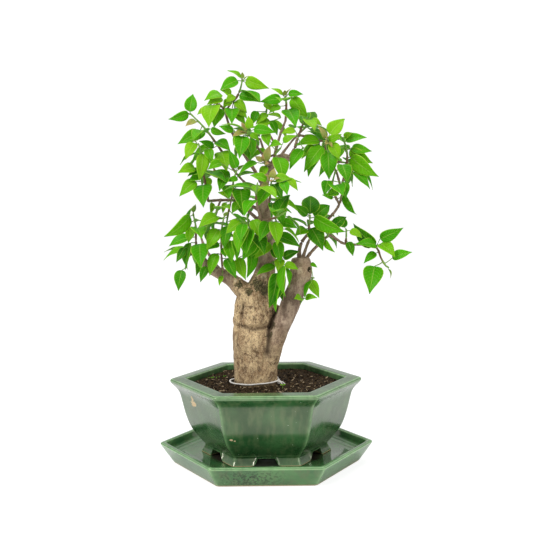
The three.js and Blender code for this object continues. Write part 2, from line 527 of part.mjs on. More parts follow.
/** Height of the soil, mounded a little to the trunk, with crumbs. */
function soilHeight(x, y) {
  const away = Math.hypot(x - SOIL_MOUND.x, y);
  const mound = SOIL_MOUND.height * Math.exp(-((away / SOIL_MOUND.spread) ** 2));
  const clods = 0.5 * Math.sin(0.55 * x + 1.3) * Math.cos(0.62 * y);
  const crumbs = 0.35 * Math.sin(1.21 * x - 0.83 * y + 2);
  return SOIL_LEVEL + mound + clods + crumbs;
}

/** R of the inside of the pot at a height. */
function potInsideAt(z) {
  const above = POT_INSIDE.findIndex(([, height]) => height <= z);
  const [[r1, z1], [r0, z0]] = [POT_INSIDE[above - 1], POT_INSIDE[above]];
  return THREE.MathUtils.mapLinear(z, z0, z1, r0, r1);
}

/** A level ring of evenly spread points on the hexagon that fills the pot at a height. */
function soilRing(reach, share, z) {
  return Array.from({ length: SOIL_SIDES }, (_, i) => {
    const angle = (2 * Math.PI * i) / SOIL_SIDES;
    const offCorner = Math.abs((((angle % (Math.PI / 3)) + Math.PI / 3) % (Math.PI / 3)) - Math.PI / 6);
    const flat = reach * Math.cos(Math.PI / 6);
    const straight = Math.min(flat / Math.cos(offCorner), reach - POT_CORNER * 0.3);
    const x = share * straight * Math.cos(angle);
    const y = share * straight * Math.sin(angle);
    return new THREE.Vector3(x, y, z ?? soilHeight(x, y));
  });
}

function soil(trunkHole) {
  const upward = [...POT_INSIDE].reverse().slice(0, -1);
  const rings = [soilRing(upward[0][0] - SOIL_CLEAR, 0.02, POT_FLOOR + SEATED)];
  for (const [reach, z] of upward) {
    rings.push(soilRing(reach - SOIL_CLEAR, 1, Math.max(z, POT_FLOOR + SEATED)));
  }
  const topReach = potInsideAt(SOIL_LEVEL + 2) - SOIL_CLEAR;
  for (let r = SOIL_RINGS; r > 0; r--) {
    rings.push(soilRing(topReach, (r - 0.8) / (SOIL_RINGS - 0.8)));
  }
  let solid = loft(rings).subtract(trunkHole);
  for (const side of [-1, 1]) {
    const bottom = POT_FLOOR;
    const top = POT_FLOOR + GAP + DRAIN_SCREEN.thickness + SEATED;
    solid = solid.subtract(disc(side * DRAIN_HOLE.x, 0, DRAIN_SCREEN.radius + SEATED, bottom, top));
  }
  return pieceOf("soil", largestBody(solid), LOOKS.soil);
}

// ---------------------------------------------------------------- trunk and string

/** How far the bark stands out of the plain section at an angle and a height. */
function barkRelief(degrees, z) {
  let relief = 0;
  for (const [angle, height, spread, rise, out] of TRUNK_LUMPS) {
    const turn = ((degrees - angle + 540) % 360) - 180;
    relief += out * Math.exp(-((turn / spread) ** 2) - ((z - height) / rise) ** 2);
  }
  for (const [waves, phase, out] of TRUNK_FLUTES) {
    relief += out * Math.sin(waves * radians(degrees) + phase + z / 40);
  }
  return relief;
}

/** One point of the main trunk's bark, on a section [z, x, y, half width, half depth]. */
function barkPoint([z, x, y, width, depth], degrees, outside = 0) {
  const angle = radians(degrees);
  const out = barkRelief(degrees, z) + outside;
  return new THREE.Vector3(x + (width + out) * Math.cos(angle), y + (depth + out) * Math.sin(angle), z);
}

/** The section of the main trunk at any height. */
function trunkSection(z) {
  const above = TRUNK_SECTIONS.findIndex((section) => section[0] > z);
  const [low, high] = [TRUNK_SECTIONS[above - 1], TRUNK_SECTIONS[above]];
  const share = (z - low[0]) / (high[0] - low[0]);
  return low.map((value, i) => THREE.MathUtils.lerp(value, high[i], share));
}

function mainTrunk(outside = 0) {
  const rings = TRUNK_SECTIONS.map((section, i) => {
    const lower = i === 0 ? outside : 0;
    const placed = [section[0] - lower, ...section.slice(1)];
    const step = 360 / TRUNK_SIDES;
    return Array.from({ length: TRUNK_SIDES }, (_, k) => barkPoint(placed, k * step, outside));
  });
  return loft(rings);
}

/** The trunk with its limbs and branches, as one solid. */
function allWood(outside = 0) {
  let solid = mainTrunk(outside);
  for (const { route, sides } of WOOD) {
    solid = solid.add(tube(route, sides, WOOD_STEPS, outside));
  }
  return solid;
}

function limbHole() {
  const { at, into, radius, depth } = LIMB_HOLE;
  const direction = vec(into).normalize();
  const start = vec(at).addScaledVector(direction, -4);
  const end = vec(at).addScaledVector(direction, depth);
  return loft([ringAcross(start, direction, radius * 1.5, 8), ringAcross(end, direction, radius * 0.6, 8)]);
}

function trunk() {
  return pieceOf("trunk", allWood().subtract(limbHole()), LOOKS.bark);
}

/** Middle line of the string, at an angle round the trunk. It hangs loose on one side. */
function tiePoint(degrees) {
  const z = TIE.z + TIE.tilt * Math.cos(radians(degrees));
  const slack = TIE.loose * Math.max(0, Math.cos(radians(degrees - TIE.looseAt))) ** 3;
  return barkPoint(trunkSection(z), degrees, TIE.radius + TIE.clear + slack);
}

/** One end of the string, which bends down from the knot. */
function tieEnd(knot, [dx, dy, dz]) {
  const start = [knot.x, knot.y, knot.z, 1];
  const bend = [knot.x + 0.5 * dx, knot.y + 0.5 * dy, knot.z + 0.3 * dz, 0.9];
  return tube([start, bend, [knot.x + dx, knot.y + dy, knot.z + dz, 1.1]], 5, 2);
}

/** The string round the trunk's base, with its knot and two frayed ends. */
function tie() {
  const rings = Array.from({ length: TIE.steps }, (_, i) => {
    const degrees = KNOT.angle + (i * 360) / TIE.steps;
    const along = tiePoint(degrees + 1).sub(tiePoint(degrees - 1)).normalize();
    return ringAcross(tiePoint(degrees), along, TIE.radius, TIE.sides);
  });
  const out = vec([Math.cos(radians(KNOT.angle)), Math.sin(radians(KNOT.angle)), 0]);
  const middle = tiePoint(KNOT.angle).addScaledVector(out, KNOT.out).addScaledVector(UP, -KNOT.down);
  const knot = new THREE.IcosahedronGeometry(KNOT.radius, 1).scale(1.15, 0.85, 1);
  knot.translate(middle.x, middle.y, middle.z);
  let solid = loft(rings, { closed: true }).add(solidOfGeometry(knot));
  for (const end of KNOT.ends) {
    solid = solid.add(tieEnd(middle, end));
  }
  return pieceOf("tie", solid, LOOKS.string);
}

// ---------------------------------------------------------------- leafy shoots

/** The place on the middle lines of the wood that lies nearest to a point, with the wood's radius there. */
function nearestWood(point) {
  let best = null;
  for (const { route } of WOOD) {
    for (const { at, radius } of smoothRoute(route, 6)) {
      const gap = at.distanceTo(point) - radius;
      if (!best || gap < best.gap) best = { gap, at, radius };
    }
  }
  return best;
}

/** A shoot's stem as places along it, from the middle of the wood to the bud. */
function stemPlaces({ route }) {
  const start = nearestWood(vec(route[0]));
  const free = start.at.distanceTo(vec(route[0])) > STEM.apart ? route : route.slice(1);
  const points = [start.at.toArray(), ...free];
  const radii = points.map((_, i) => THREE.MathUtils.lerp(STEM.base, STEM.tip, i / (points.length - 1)));
  const places = smoothRoute(points.map((p, i) => [...p, radii[i]]), STEM.steps);
  places[0].bare = start.radius + STEM.bare;
  return places;
}

/** A stem that ends in a pointed bud. */
function stemSolid(places) {
  const last = places.at(-1);
  const bud = last.at.clone().addScaledVector(last.along, STEM.bud);
  return loft(places.map((s) => ringAcross(s.at, s.along, s.radius, STEM.sides)), { point: bud });
}

/** The point of a stem nearest to a place in the front view, off the bare foot that the wood holds. */
function rootInFront(places, x, z) {
  let best = null;
  for (let i = 0; i < places.length - 1; i++) {
    for (const share of [0, 0.25, 0.5, 0.75, 1]) {
      const point = places[i].at.clone().lerp(places[i + 1].at, share);
      const held = point.distanceTo(places[0].at) < places[0].bare;
      const gap = Math.hypot(point.x - x, point.z - z);
      if (!held && (!best || gap < best.gap)) best = { gap, point };
    }
  }
  return best.point;
}

/** The three points of a petiole's ring: right, below and left. */
function petioleRing(centre, direction, over, radius) {
  const [side, above] = frameAlong(direction, over);
  return [
    centre.clone().addScaledVector(side, radius).addScaledVector(above, 0.5 * radius),
    centre.clone().addScaledVector(above, -radius),
    centre.clone().addScaledVector(side, -radius).addScaledVector(above, 0.5 * radius),
  ];
}

/** Triangles of a blade. Each section's points go from left to right above, then back below. */
function bladeTriangles(neck, first, sections, across) {
  const [right, below, left] = [neck, neck + 1, neck + 2];
  const ring = 2 * across;
  const top = (i, s = 0) => first + s * ring + i;
  const bottom = (i, s = 0) => first + s * ring + ring - 1 - i;
  const end = across - 1;
  const middle = Math.ceil(end / 2);
  const triangles = [[left, right, top(middle)], [right, bottom(end), top(end)]];
  triangles.push([right, below, bottom(end)], [below, left, bottom(0)], [left, top(0), bottom(0)]);
  for (let i = 0; i < end; i++) {
    triangles.push([i < middle ? left : right, top(i + 1), top(i)], [below, bottom(i), bottom(i + 1)]);
  }
  for (let s = 0; s < sections - 1; s++) {
    for (let i = 0; i < end; i++) {
      const [a, b] = i < middle ? [i + 1, i] : [i, i + 1]; // both faces are split from the middle outwards
      const faces = [
        [top(a, s), top(b, s), top(b, s + 1)],
        [top(a, s), top(b, s + 1), top(a, s + 1)],
        [bottom(a, s), bottom(b, s + 1), bottom(b, s)],
        [bottom(a, s), bottom(a, s + 1), bottom(b, s + 1)],
      ];
      triangles.push(...faces.map(([p, q, r]) => (i < middle ? [p, r, q] : [p, q, r])));
    }
    triangles.push(
      [top(end, s), bottom(end, s), bottom(end, s + 1)],
      [top(end, s), bottom(end, s + 1), top(end, s + 1)],
      [bottom(0, s), top(0, s), top(0, s + 1)],
      [bottom(0, s), top(0, s + 1), bottom(0, s + 1)],
    );
  }
  const last = first + ring * (sections - 1);
  for (let i = 0; i < ring; i++) triangles.push([last + i, last + ((i + 1) % ring), last + ring]);
  return triangles;
}

/** One leaf: an arched blade, folded along its midrib if it is large, with its petiole. */
function leafSolid({ root, base, tip, width, up }, { fatter = 0, bladeOnly = false } = {}) {
  const chord = tip.clone().sub(base);
  const length = chord.length();
  const along = chord.clone().divideScalar(length);
  const [side, over] = frameAlong(along, up);
  const half = LEAF.thickness / 2 + fatter;
  const fold = length > LEAF.folded ? LEAF.fold : 0;
  const sections = length < LEAF.smallest ? [LEAF.smallSection] : LEAF.sections;
  const points = [];
  for (const [place, share] of sections) {
    const lift = 4 * LEAF.arch * length * place * (1 - place);
    const middle = base.clone().addScaledVector(chord, place).addScaledVector(over, lift);
    const reach = share * width + fatter;
    const edge = (sign) => middle.clone()
      .addScaledVector(side, sign * reach * Math.cos(fold))
      .addScaledVector(over, reach * Math.sin(fold));
    const across = fold ? [edge(-1), middle, edge(1)] : [edge(-1), edge(1)];
    points.push(...across.map((p) => p.clone().addScaledVector(over, half)));
    points.push(...across.reverse().map((p) => p.clone().addScaledVector(over, -half)));
  }
  points.push(tip.clone().addScaledVector(along, fatter));
  const stem = base.clone().sub(root).normalize();
  const bend = bladeOnly ? along : stem.clone().add(along).normalize();
  const radius = LEAF.petiole + fatter;
  const rings = bladeOnly ? [] : petioleRing(root, bend, over, radius);
  rings.push(...petioleRing(base, bend, over, radius));
  const blade = bladeTriangles(rings.length - 3, rings.length, sections.length, fold ? 3 : 2);
  const triangles = [[0, 2, 1], ...blade];
  if (!bladeOnly) {
    for (let i = 0; i < 3; i++) {
      const j = (i + 1) % 3;
      triangles.push([i, j, 3 + j], [i, 3 + j, 3 + i]);
    }
  }
  return solidOf([...rings, ...points], triangles);
}

/** Where a leaf that shows at the front may lie: the same view from the front, nearer or farther. */
function frontLeaf(places, [baseX, baseZ, tipX, tipZ, width], seed, attempt) {
  const root = rootInFront(places, baseX, baseZ);
  const shown = Math.hypot(tipX - baseX, tipZ - baseZ);
  const bladeWidth = Math.max(width, LEAF.slim * shown);
  const length = Math.max(shown, LEAF.long * bladeWidth);
  const forward = Math.sqrt(length * length - shown * shown) + FRONT_LEAF.lean * shown;
  const rising = tipZ - baseZ > FRONT_LEAF.rising * shown;
  const step = Math.ceil(attempt / 2) * (attempt % 2 ? 1 : -1);
  const base = new THREE.Vector3(baseX, root.y - FRONT_LEAF.nearer + FRONT_LEAF.baseTry * step, baseZ);
  const tipY = base.y + (rising ? forward : -forward) + FRONT_LEAF.tipTry * step;
  const tip = new THREE.Vector3(tipX, tipY, tipZ);
  const away = base.distanceTo(root);
  const outward = new THREE.Vector3(tipX - baseX, -FRONT_LEAF.petiole, tipZ - baseZ).normalize();
  if (away < FRONT_LEAF.petiole) base.addScaledVector(outward, FRONT_LEAF.petiole - away);
  const roll = Math.acos(width / bladeWidth) * (draw(seed) < 0.5 ? -1 : 1);
  const along = tip.clone().sub(base).normalize();
  const up = FACING.clone().applyAxisAngle(along, roll + FRONT_LEAF.rollDraw * (draw(seed + 1) - 0.5));
  return { root, base, tip, width: bladeWidth, up };
}

/** Where the leaf of a number may lie on its stem: they follow each other round it at the golden angle. */
function ruledLeaf(places, number, count, seed, attempt) {
  const rule = RULED_LEAF;
  const place = THREE.MathUtils.lerp(rule.first, rule.last, (number + 0.5) / count) * (places.length - 1);
  const from = Math.floor(place);
  const root = places[from].at.clone().lerp(places[from + 1].at, place - from);
  const along = places[from].along.clone();
  const turn = radians(GOLDEN_ANGLE * (number + 1) + rule.turnDraw * draw(seed) + rule.turnTry * attempt);
  const [side, over] = frameAlong(along, UP);
  const outward = over.multiplyScalar(Math.cos(turn)).addScaledVector(side, Math.sin(turn));
  const length = rule.length + rule.lengthDraw * draw(seed + 2) - rule.shorter * (number / count);
  const droop = rule.droop + rule.droopDraw * draw(seed + 3) + rule.droopTry * attempt;
  const leaving = outward.clone().addScaledVector(along, rule.petioleAhead).normalize();
  const reach = outward.clone().addScaledVector(along, rule.ahead).addScaledVector(UP, -droop).normalize();
  const base = root.clone().addScaledVector(leaving, rule.petiole + rule.petioleDraw * draw(seed + 4));
  const tip = base.clone().addScaledVector(reach, length);
  const up = UP.clone().addScaledVector(outward, rule.upOutward).addScaledVector(along, rule.upAhead);
  return { root, base, tip, width: length * (rule.width + rule.widthDraw * draw(seed + 5)), up };
}

/** A small young leaf beside the bud at the end of a stem. */
function youngLeaf(places, number, count, seed, attempt) {
  const rule = YOUNG_LEAF;
  const last = places.at(-1);
  const turn = radians((360 * number) / count + rule.turnDraw * draw(seed) + rule.turnTry * attempt);
  const [side, over] = frameAlong(last.along, UP);
  const outward = over.multiplyScalar(Math.cos(turn)).addScaledVector(side, Math.sin(turn));
  const root = last.at.clone();
  const base = root.clone().addScaledVector(outward, rule.petiole);
  base.addScaledVector(last.along, rule.petioleAhead);
  const reach = outward.clone().addScaledVector(last.along, rule.ahead).normalize();
  const length = rule.length + rule.lengthDraw * draw(seed + 1);
  const tip = base.clone().addScaledVector(reach, length);
  const up = last.along.clone().addScaledVector(outward, rule.upOutward);
  return { root, base, tip, width: rule.width * length, up };
}

/** All places that a shoot's leaves may take, in the order in which they are set. */
function leafChoices(shoot, places, index) {
  const seed = (kind, number) => 1000 * index + 300 * kind + 10 * number;
  const choices = [];
  shoot.leaves.forEach((leaf, i) => choices.push((k) => frontLeaf(places, leaf, seed(0, i), k)));
  for (let i = 0; i < shoot.tuft; i++) choices.push((k) => youngLeaf(places, i, shoot.tuft, seed(1, i), k));
  for (let i = 0; i < shoot.more; i++) choices.push((k) => ruledLeaf(places, i, shoot.more, seed(2, i), k));
  return choices;
}

/** True if two boxes from boundingBox() meet. */
function boxesMeet(a, b) {
  return [0, 1, 2].every((i) => a.min[i] <= b.max[i] && b.min[i] <= a.max[i]);
}

/** True if a solid reaches into none of the placed pieces that count. */
function isClear(solid, placed) {
  const box = solid.boundingBox();
  return placed.every((other) => !boxesMeet(box, other.box) || solid.intersect(other.solid).isEmpty());
}

function boxed(solid, owner) {
  return { solid, owner, box: solid.boundingBox() };
}

/** Sets one leaf in the first of its places that is clear, and returns it, or null where none is. */
function setLeaf(choice, owner, barriers, blades) {
  const ownBlades = blades.filter((b) => b.owner === owner);
  for (const mayTouchOwn of [false, true]) {
    for (let attempt = 0; attempt < TRIES; attempt++) {
      const leaf = choice(attempt);
      const fat = leafSolid(leaf, { fatter: CLEARANCE });
      if (!isClear(fat, barriers.filter((b) => b.owner !== owner))) continue;
      const blade = leafSolid(leaf, { bladeOnly: true });
      if (!mayTouchOwn && !isClear(blade, ownBlades)) continue;
      blades.push(boxed(blade, owner));
      return leafSolid(leaf);
    }
  }
  return null;
}

/** Every leafy shoot, each one solid that stands a hair off the wood it grows from. */
function shoots() {
  const wood = allWood(GAP);
  const stems = SHOOTS.map((shoot) => stemPlaces(shoot));
  const barriers = [boxed(wood, "wood")];
  SHOOTS.forEach((shoot, i) => barriers.push(boxed(stemSolid(stems[i]), shoot.name)));
  const blades = [];
  return SHOOTS.map((shoot, i) => {
    let solid = stemSolid(stems[i]);
    for (const choice of leafChoices(shoot, stems[i], i)) {
      const leaf = setLeaf(choice, shoot.name, barriers, blades);
      if (!leaf) continue;
      solid = solid.add(leaf);
      barriers.push(boxed(leaf, shoot.name));
    }
    return pieceOf(`shoot_${shoot.name}`, largestBody(solid.subtract(wood)), LOOKS.leaf);
  });
}

// ---------------------------------------------------------------- the whole object

const bonsai = new THREE.Group();
bonsai.add(
  saucer(),
  pot(),
  drainScreen("drain_screen_left", -DRAIN_HOLE.x),
  drainScreen("drain_screen_right", DRAIN_HOLE.x),
  soil(mainTrunk(SEATED)),
  trunk(),
  tie(),
  ...shoots(),
);

export default bonsai;
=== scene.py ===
"""The finished look of a potted bougainvillea bonsai, on the frame packed from its CAD source.
Lengths are in millimetres, as in that source, until a mesh is made."""

import math
import random

import bpy
import numpy as np
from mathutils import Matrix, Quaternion, Vector, noise


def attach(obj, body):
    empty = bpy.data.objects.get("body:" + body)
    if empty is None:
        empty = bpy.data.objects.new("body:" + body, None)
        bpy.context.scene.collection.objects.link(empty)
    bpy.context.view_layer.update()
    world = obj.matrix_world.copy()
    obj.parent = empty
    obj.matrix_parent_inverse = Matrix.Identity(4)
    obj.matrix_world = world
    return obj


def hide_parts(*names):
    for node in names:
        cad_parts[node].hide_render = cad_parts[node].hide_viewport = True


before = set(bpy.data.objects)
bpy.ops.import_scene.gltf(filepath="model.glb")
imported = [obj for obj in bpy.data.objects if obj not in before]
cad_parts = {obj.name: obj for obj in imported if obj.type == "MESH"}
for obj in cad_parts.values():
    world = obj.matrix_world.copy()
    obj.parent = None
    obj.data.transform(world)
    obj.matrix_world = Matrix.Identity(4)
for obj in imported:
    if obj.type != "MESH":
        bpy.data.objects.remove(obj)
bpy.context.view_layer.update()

MM = 0.001

# ---------------------------------------------------------------- dimensions repeated from the CAD source

GAP = 0.3
POT_CORNER, SAUCER_CORNER = 5, 6
SAUCER_FLOOR = 16
# [R, z] from the middle of the underside round to the middle of the floor
SAUCER_PROFILE = [
    [56, 0], [60, 2.4], [106, 2.4], [110, 0], [126.5, 0], [128.5, 1.6], [138.5, 15], [144.8, 24],
    [146.9, 27], [145.6, 29], [142, 29.8], [138.5, 28.8], [135, 21], [132, 18.4], [122, 17.2],
    [119, SAUCER_FLOOR],
]
POT_FLOOR_UNDER, POT_FLOOR = 29, 37
FOOT_BOTTOM, FOOT_TOP, FOOT_INSIDE = SAUCER_FLOOR + GAP, 28.6, 70
FOOT_OUTSIDE = [[90, FOOT_BOTTOM], [86.5, 21.5], [84.3, 26.5], [86.2, FOOT_TOP]]
POT_BODY = [[86.2, FOOT_TOP], [94, 37.5], [104, 51], [111, 69], [116.8, 92], [119, 99], [123, 105],
            [127.8, 109.6]]
POT_RIM = [[127.8, 109.6], [131.2, 113.2], [131.6, 115.4], [130, 117.7], [112.5, 118.9], [109.3, 118.1]]
POT_INSIDE = [[109.3, 118.1], [109.6, 100], [104, 70], [94, 50], [78, POT_FLOOR]]
FOOT_GAP = {"top": 12, "bottom": 20.5, "roof": 27}
DRAIN_HOLE = {"x": 38, "radius": 8}

SOIL_LEVEL, SOIL_CLEAR = 110, 0.6
SOIL_MOUND = {"x": -13, "height": 0.6, "spread": 51}

# [z, centre x, centre y, half width, half depth]
TRUNK_SECTIONS = [
    [72, -13, 0, 19, 18], [84, -13, 0, 25, 23], [98, -13.5, 0, 29, 27], [108, -13.5, 0, 29.6, 27.6],
    [118, -13.3, 0, 28.8, 27], [130, -13, 0, 29, 26.6], [143, -13, 0, 29.2, 26.4],
    [157, -14.4, 0, 28.6, 26], [172, -16, 0, 27.7, 26], [183, -17, 0, 26.6, 25], [190, -17.3, 0, 25.4, 24],
    [197, -15.8, 0, 26.8, 24.5], [207, -14.2, 0, 27, 24.5], [217, -14, 0, 26.2, 23.6],
    [227, -14.5, 0, 23.6, 21.5], [237, -13.5, 0, 20, 18.5], [248, -8, 0, 15.5, 15], [259, -2, 0, 13, 13],
]
# Swellings (+) and hollows (-) of the bark: [angle, z, spread of angle, spread of z, height]
TRUNK_LUMPS = [
    [-105, 168, 48, 13, 3.4], [-95, 190, 75, 4, -2.6], [-140, 214, 11, 17, -3], [-112, 208, 22, 12, 2.4],
    [-165, 200, 20, 14, 1.6], [-70, 152, 14, 20, -1.8], [-35, 128, 30, 16, 1.5], [60, 150, 40, 22, 2.6],
    [110, 195, 26, 24, -2.4], [150, 140, 30, 20, 2], [90, 225, 40, 12, 2.2], [-170, 236, 30, 9, 3],
]
TRUNK_FLUTES = [[3, 0.4, 0.7], [5, 2.1, 0.6], [8, 1.2, 0.4]]  # [waves round the trunk, phase, height]
LIMB_HOLE = {"at": [58, -13, 268], "into": [-0.75, 0.6, 0.1]}

# [x, y, z, radius] points of each middle line
LIMBS = {
    "leader": [[-9, 0, 240, 16], [-4, 0, 250, 15], [1, 0, 266, 13.5], [4, 2, 290, 11.5], [4, 4, 315, 9.5],
        [1, 5, 340, 8], [-1, 5, 365, 6.8], [2, 4, 385, 5.8], [9, 2, 403, 5], [18, -2, 414, 5.2],
        [27, -5, 417, 5.8], [36, -6, 415, 4]],
    "right_limb": [[-0.5, -4, 124, 12.2], [6, -9, 146, 13.4], [13, -12, 170, 12.6], [21.7, -12, 192, 12.6],
        [32, -10, 215, 13.2], [41.2, -8, 237, 13], [47, -7, 251, 13.6], [49, -6, 262, 15.2],
        [49, -6, 273, 14.6], [48, -6, 283, 11.5]],
    "left_limb": [[-18, 0, 228, 15], [-31, 0, 240, 12], [-45, -2, 253, 9.4], [-60, -4, 262, 8],
        [-72, -5, 269, 7], [-83, -7, 280, 5.6], [-91, -9, 296, 4]],
}
BRANCHES = {
    "stub_twig": [[50, -6, 270, 3.6], [58, -7, 284, 2.9], [70, -10, 298, 2.5], [86, -10, 312, 2.4],
        [96, -6, 308, 2.2], [107, -2, 301, 2.1], [125, 0, 299, 1.9], [147, 0, 299, 1.8]],
    "right_riser": [[46, -4, 278, 3.6], [49, -3, 300, 2.9], [60, -4, 315, 2.6], [80, -6, 329, 2.4],
        [93, -6, 342, 2.2], [101, -4, 354, 2.2], [105, 0, 369, 2.1], [102, 3, 382, 2], [98, 8, 397, 1.9],
        [92, 18, 408, 1.8], [88, 34, 419, 1.7]],
    "left_branch": [[3, 4, 338, 3.6], [-15, 2, 352, 2.9], [-37, 0, 360, 2.4], [-58, -2, 361, 2.4],
        [-75, -2, 360, 2.2]],
    "upper_left": [[-1, 4, 366, 3.2], [-14, 2, 377, 2.4], [-25, 0, 384, 2.1], [-37, -3, 397, 1.8]],
    "apex_branch": [[0, 5, 378, 3.5], [-12, 8, 400, 2.9], [-28, 10, 425, 2.5], [-42, 6, 452, 2.2],
        [-49, 2, 476, 2], [-42, 0, 491, 1.7]],
    "second_apex": [[13, 1, 408, 3.2], [17, 2, 428, 2.4], [23, 2, 448, 2.1], [30, 2, 466, 1.8]],
    "upper_right": [[33, -6, 415, 3.2], [42, -6, 430, 2.6], [47, -4, 445, 2.2], [58, -2, 444, 2],
        [72, 0, 440, 1.7]],
    "front_top": [[11, 0, 406, 3.2], [2, -12, 417, 2.2], [-7, -18, 430, 1.7]],
    "front_mid": [[2, 2, 308, 4], [0, -26, 322, 2.7], [-4, -48, 336, 2.2], [-8, -62, 352, 1.8]],
    "back_mid": [[3, 4, 296, 4], [0, 28, 318, 2.9], [-4, 52, 338, 2.4], [-6, 72, 362, 1.8]],
    "back_left": [[0, 5, 326, 3.7], [-22, 30, 345, 2.7], [-44, 48, 365, 2.2], [-60, 58, 385, 1.8]],
    "back_right": [[9, 3, 400, 3.2], [24, 24, 420, 2.4], [40, 40, 440, 1.8]],
    "back_top": [[5, 4, 392, 3.2], [2, 24, 420, 2.4], [-4, 38, 442, 1.8]],
    "limb_back": [[-58, -3, 262, 3.6], [-72, 18, 280, 2.6], [-84, 36, 298, 2.2], [-90, 46, 316, 1.7]],
    "stub_back": [[49, -3, 274, 3.6], [58, 20, 296, 2.6], [66, 36, 312, 1.8]],
}

TIE = {"z": 114.8, "tilt": 1.8, "radius": 1.1, "clear": 0.7, "loose": 4.5, "looseAt": 162}
KNOT = {"angle": -24, "out": 1.6, "down": 1.4, "ends": [[8, -3, -2], [4, -8, -1.8]]}


class Shoot:
    """A shoot by the points of its stem and its leaves: [base x, base z, tip x, tip z, width] of those seen
    in front, how many young ones stand in a tuft round the bud, and how many more are set by rule."""

    def __init__(self, name, route, leaves=(), tuft=0, more=0):
        self.name, self.route, self.leaves, self.tuft, self.more = name, route, leaves, tuft, more


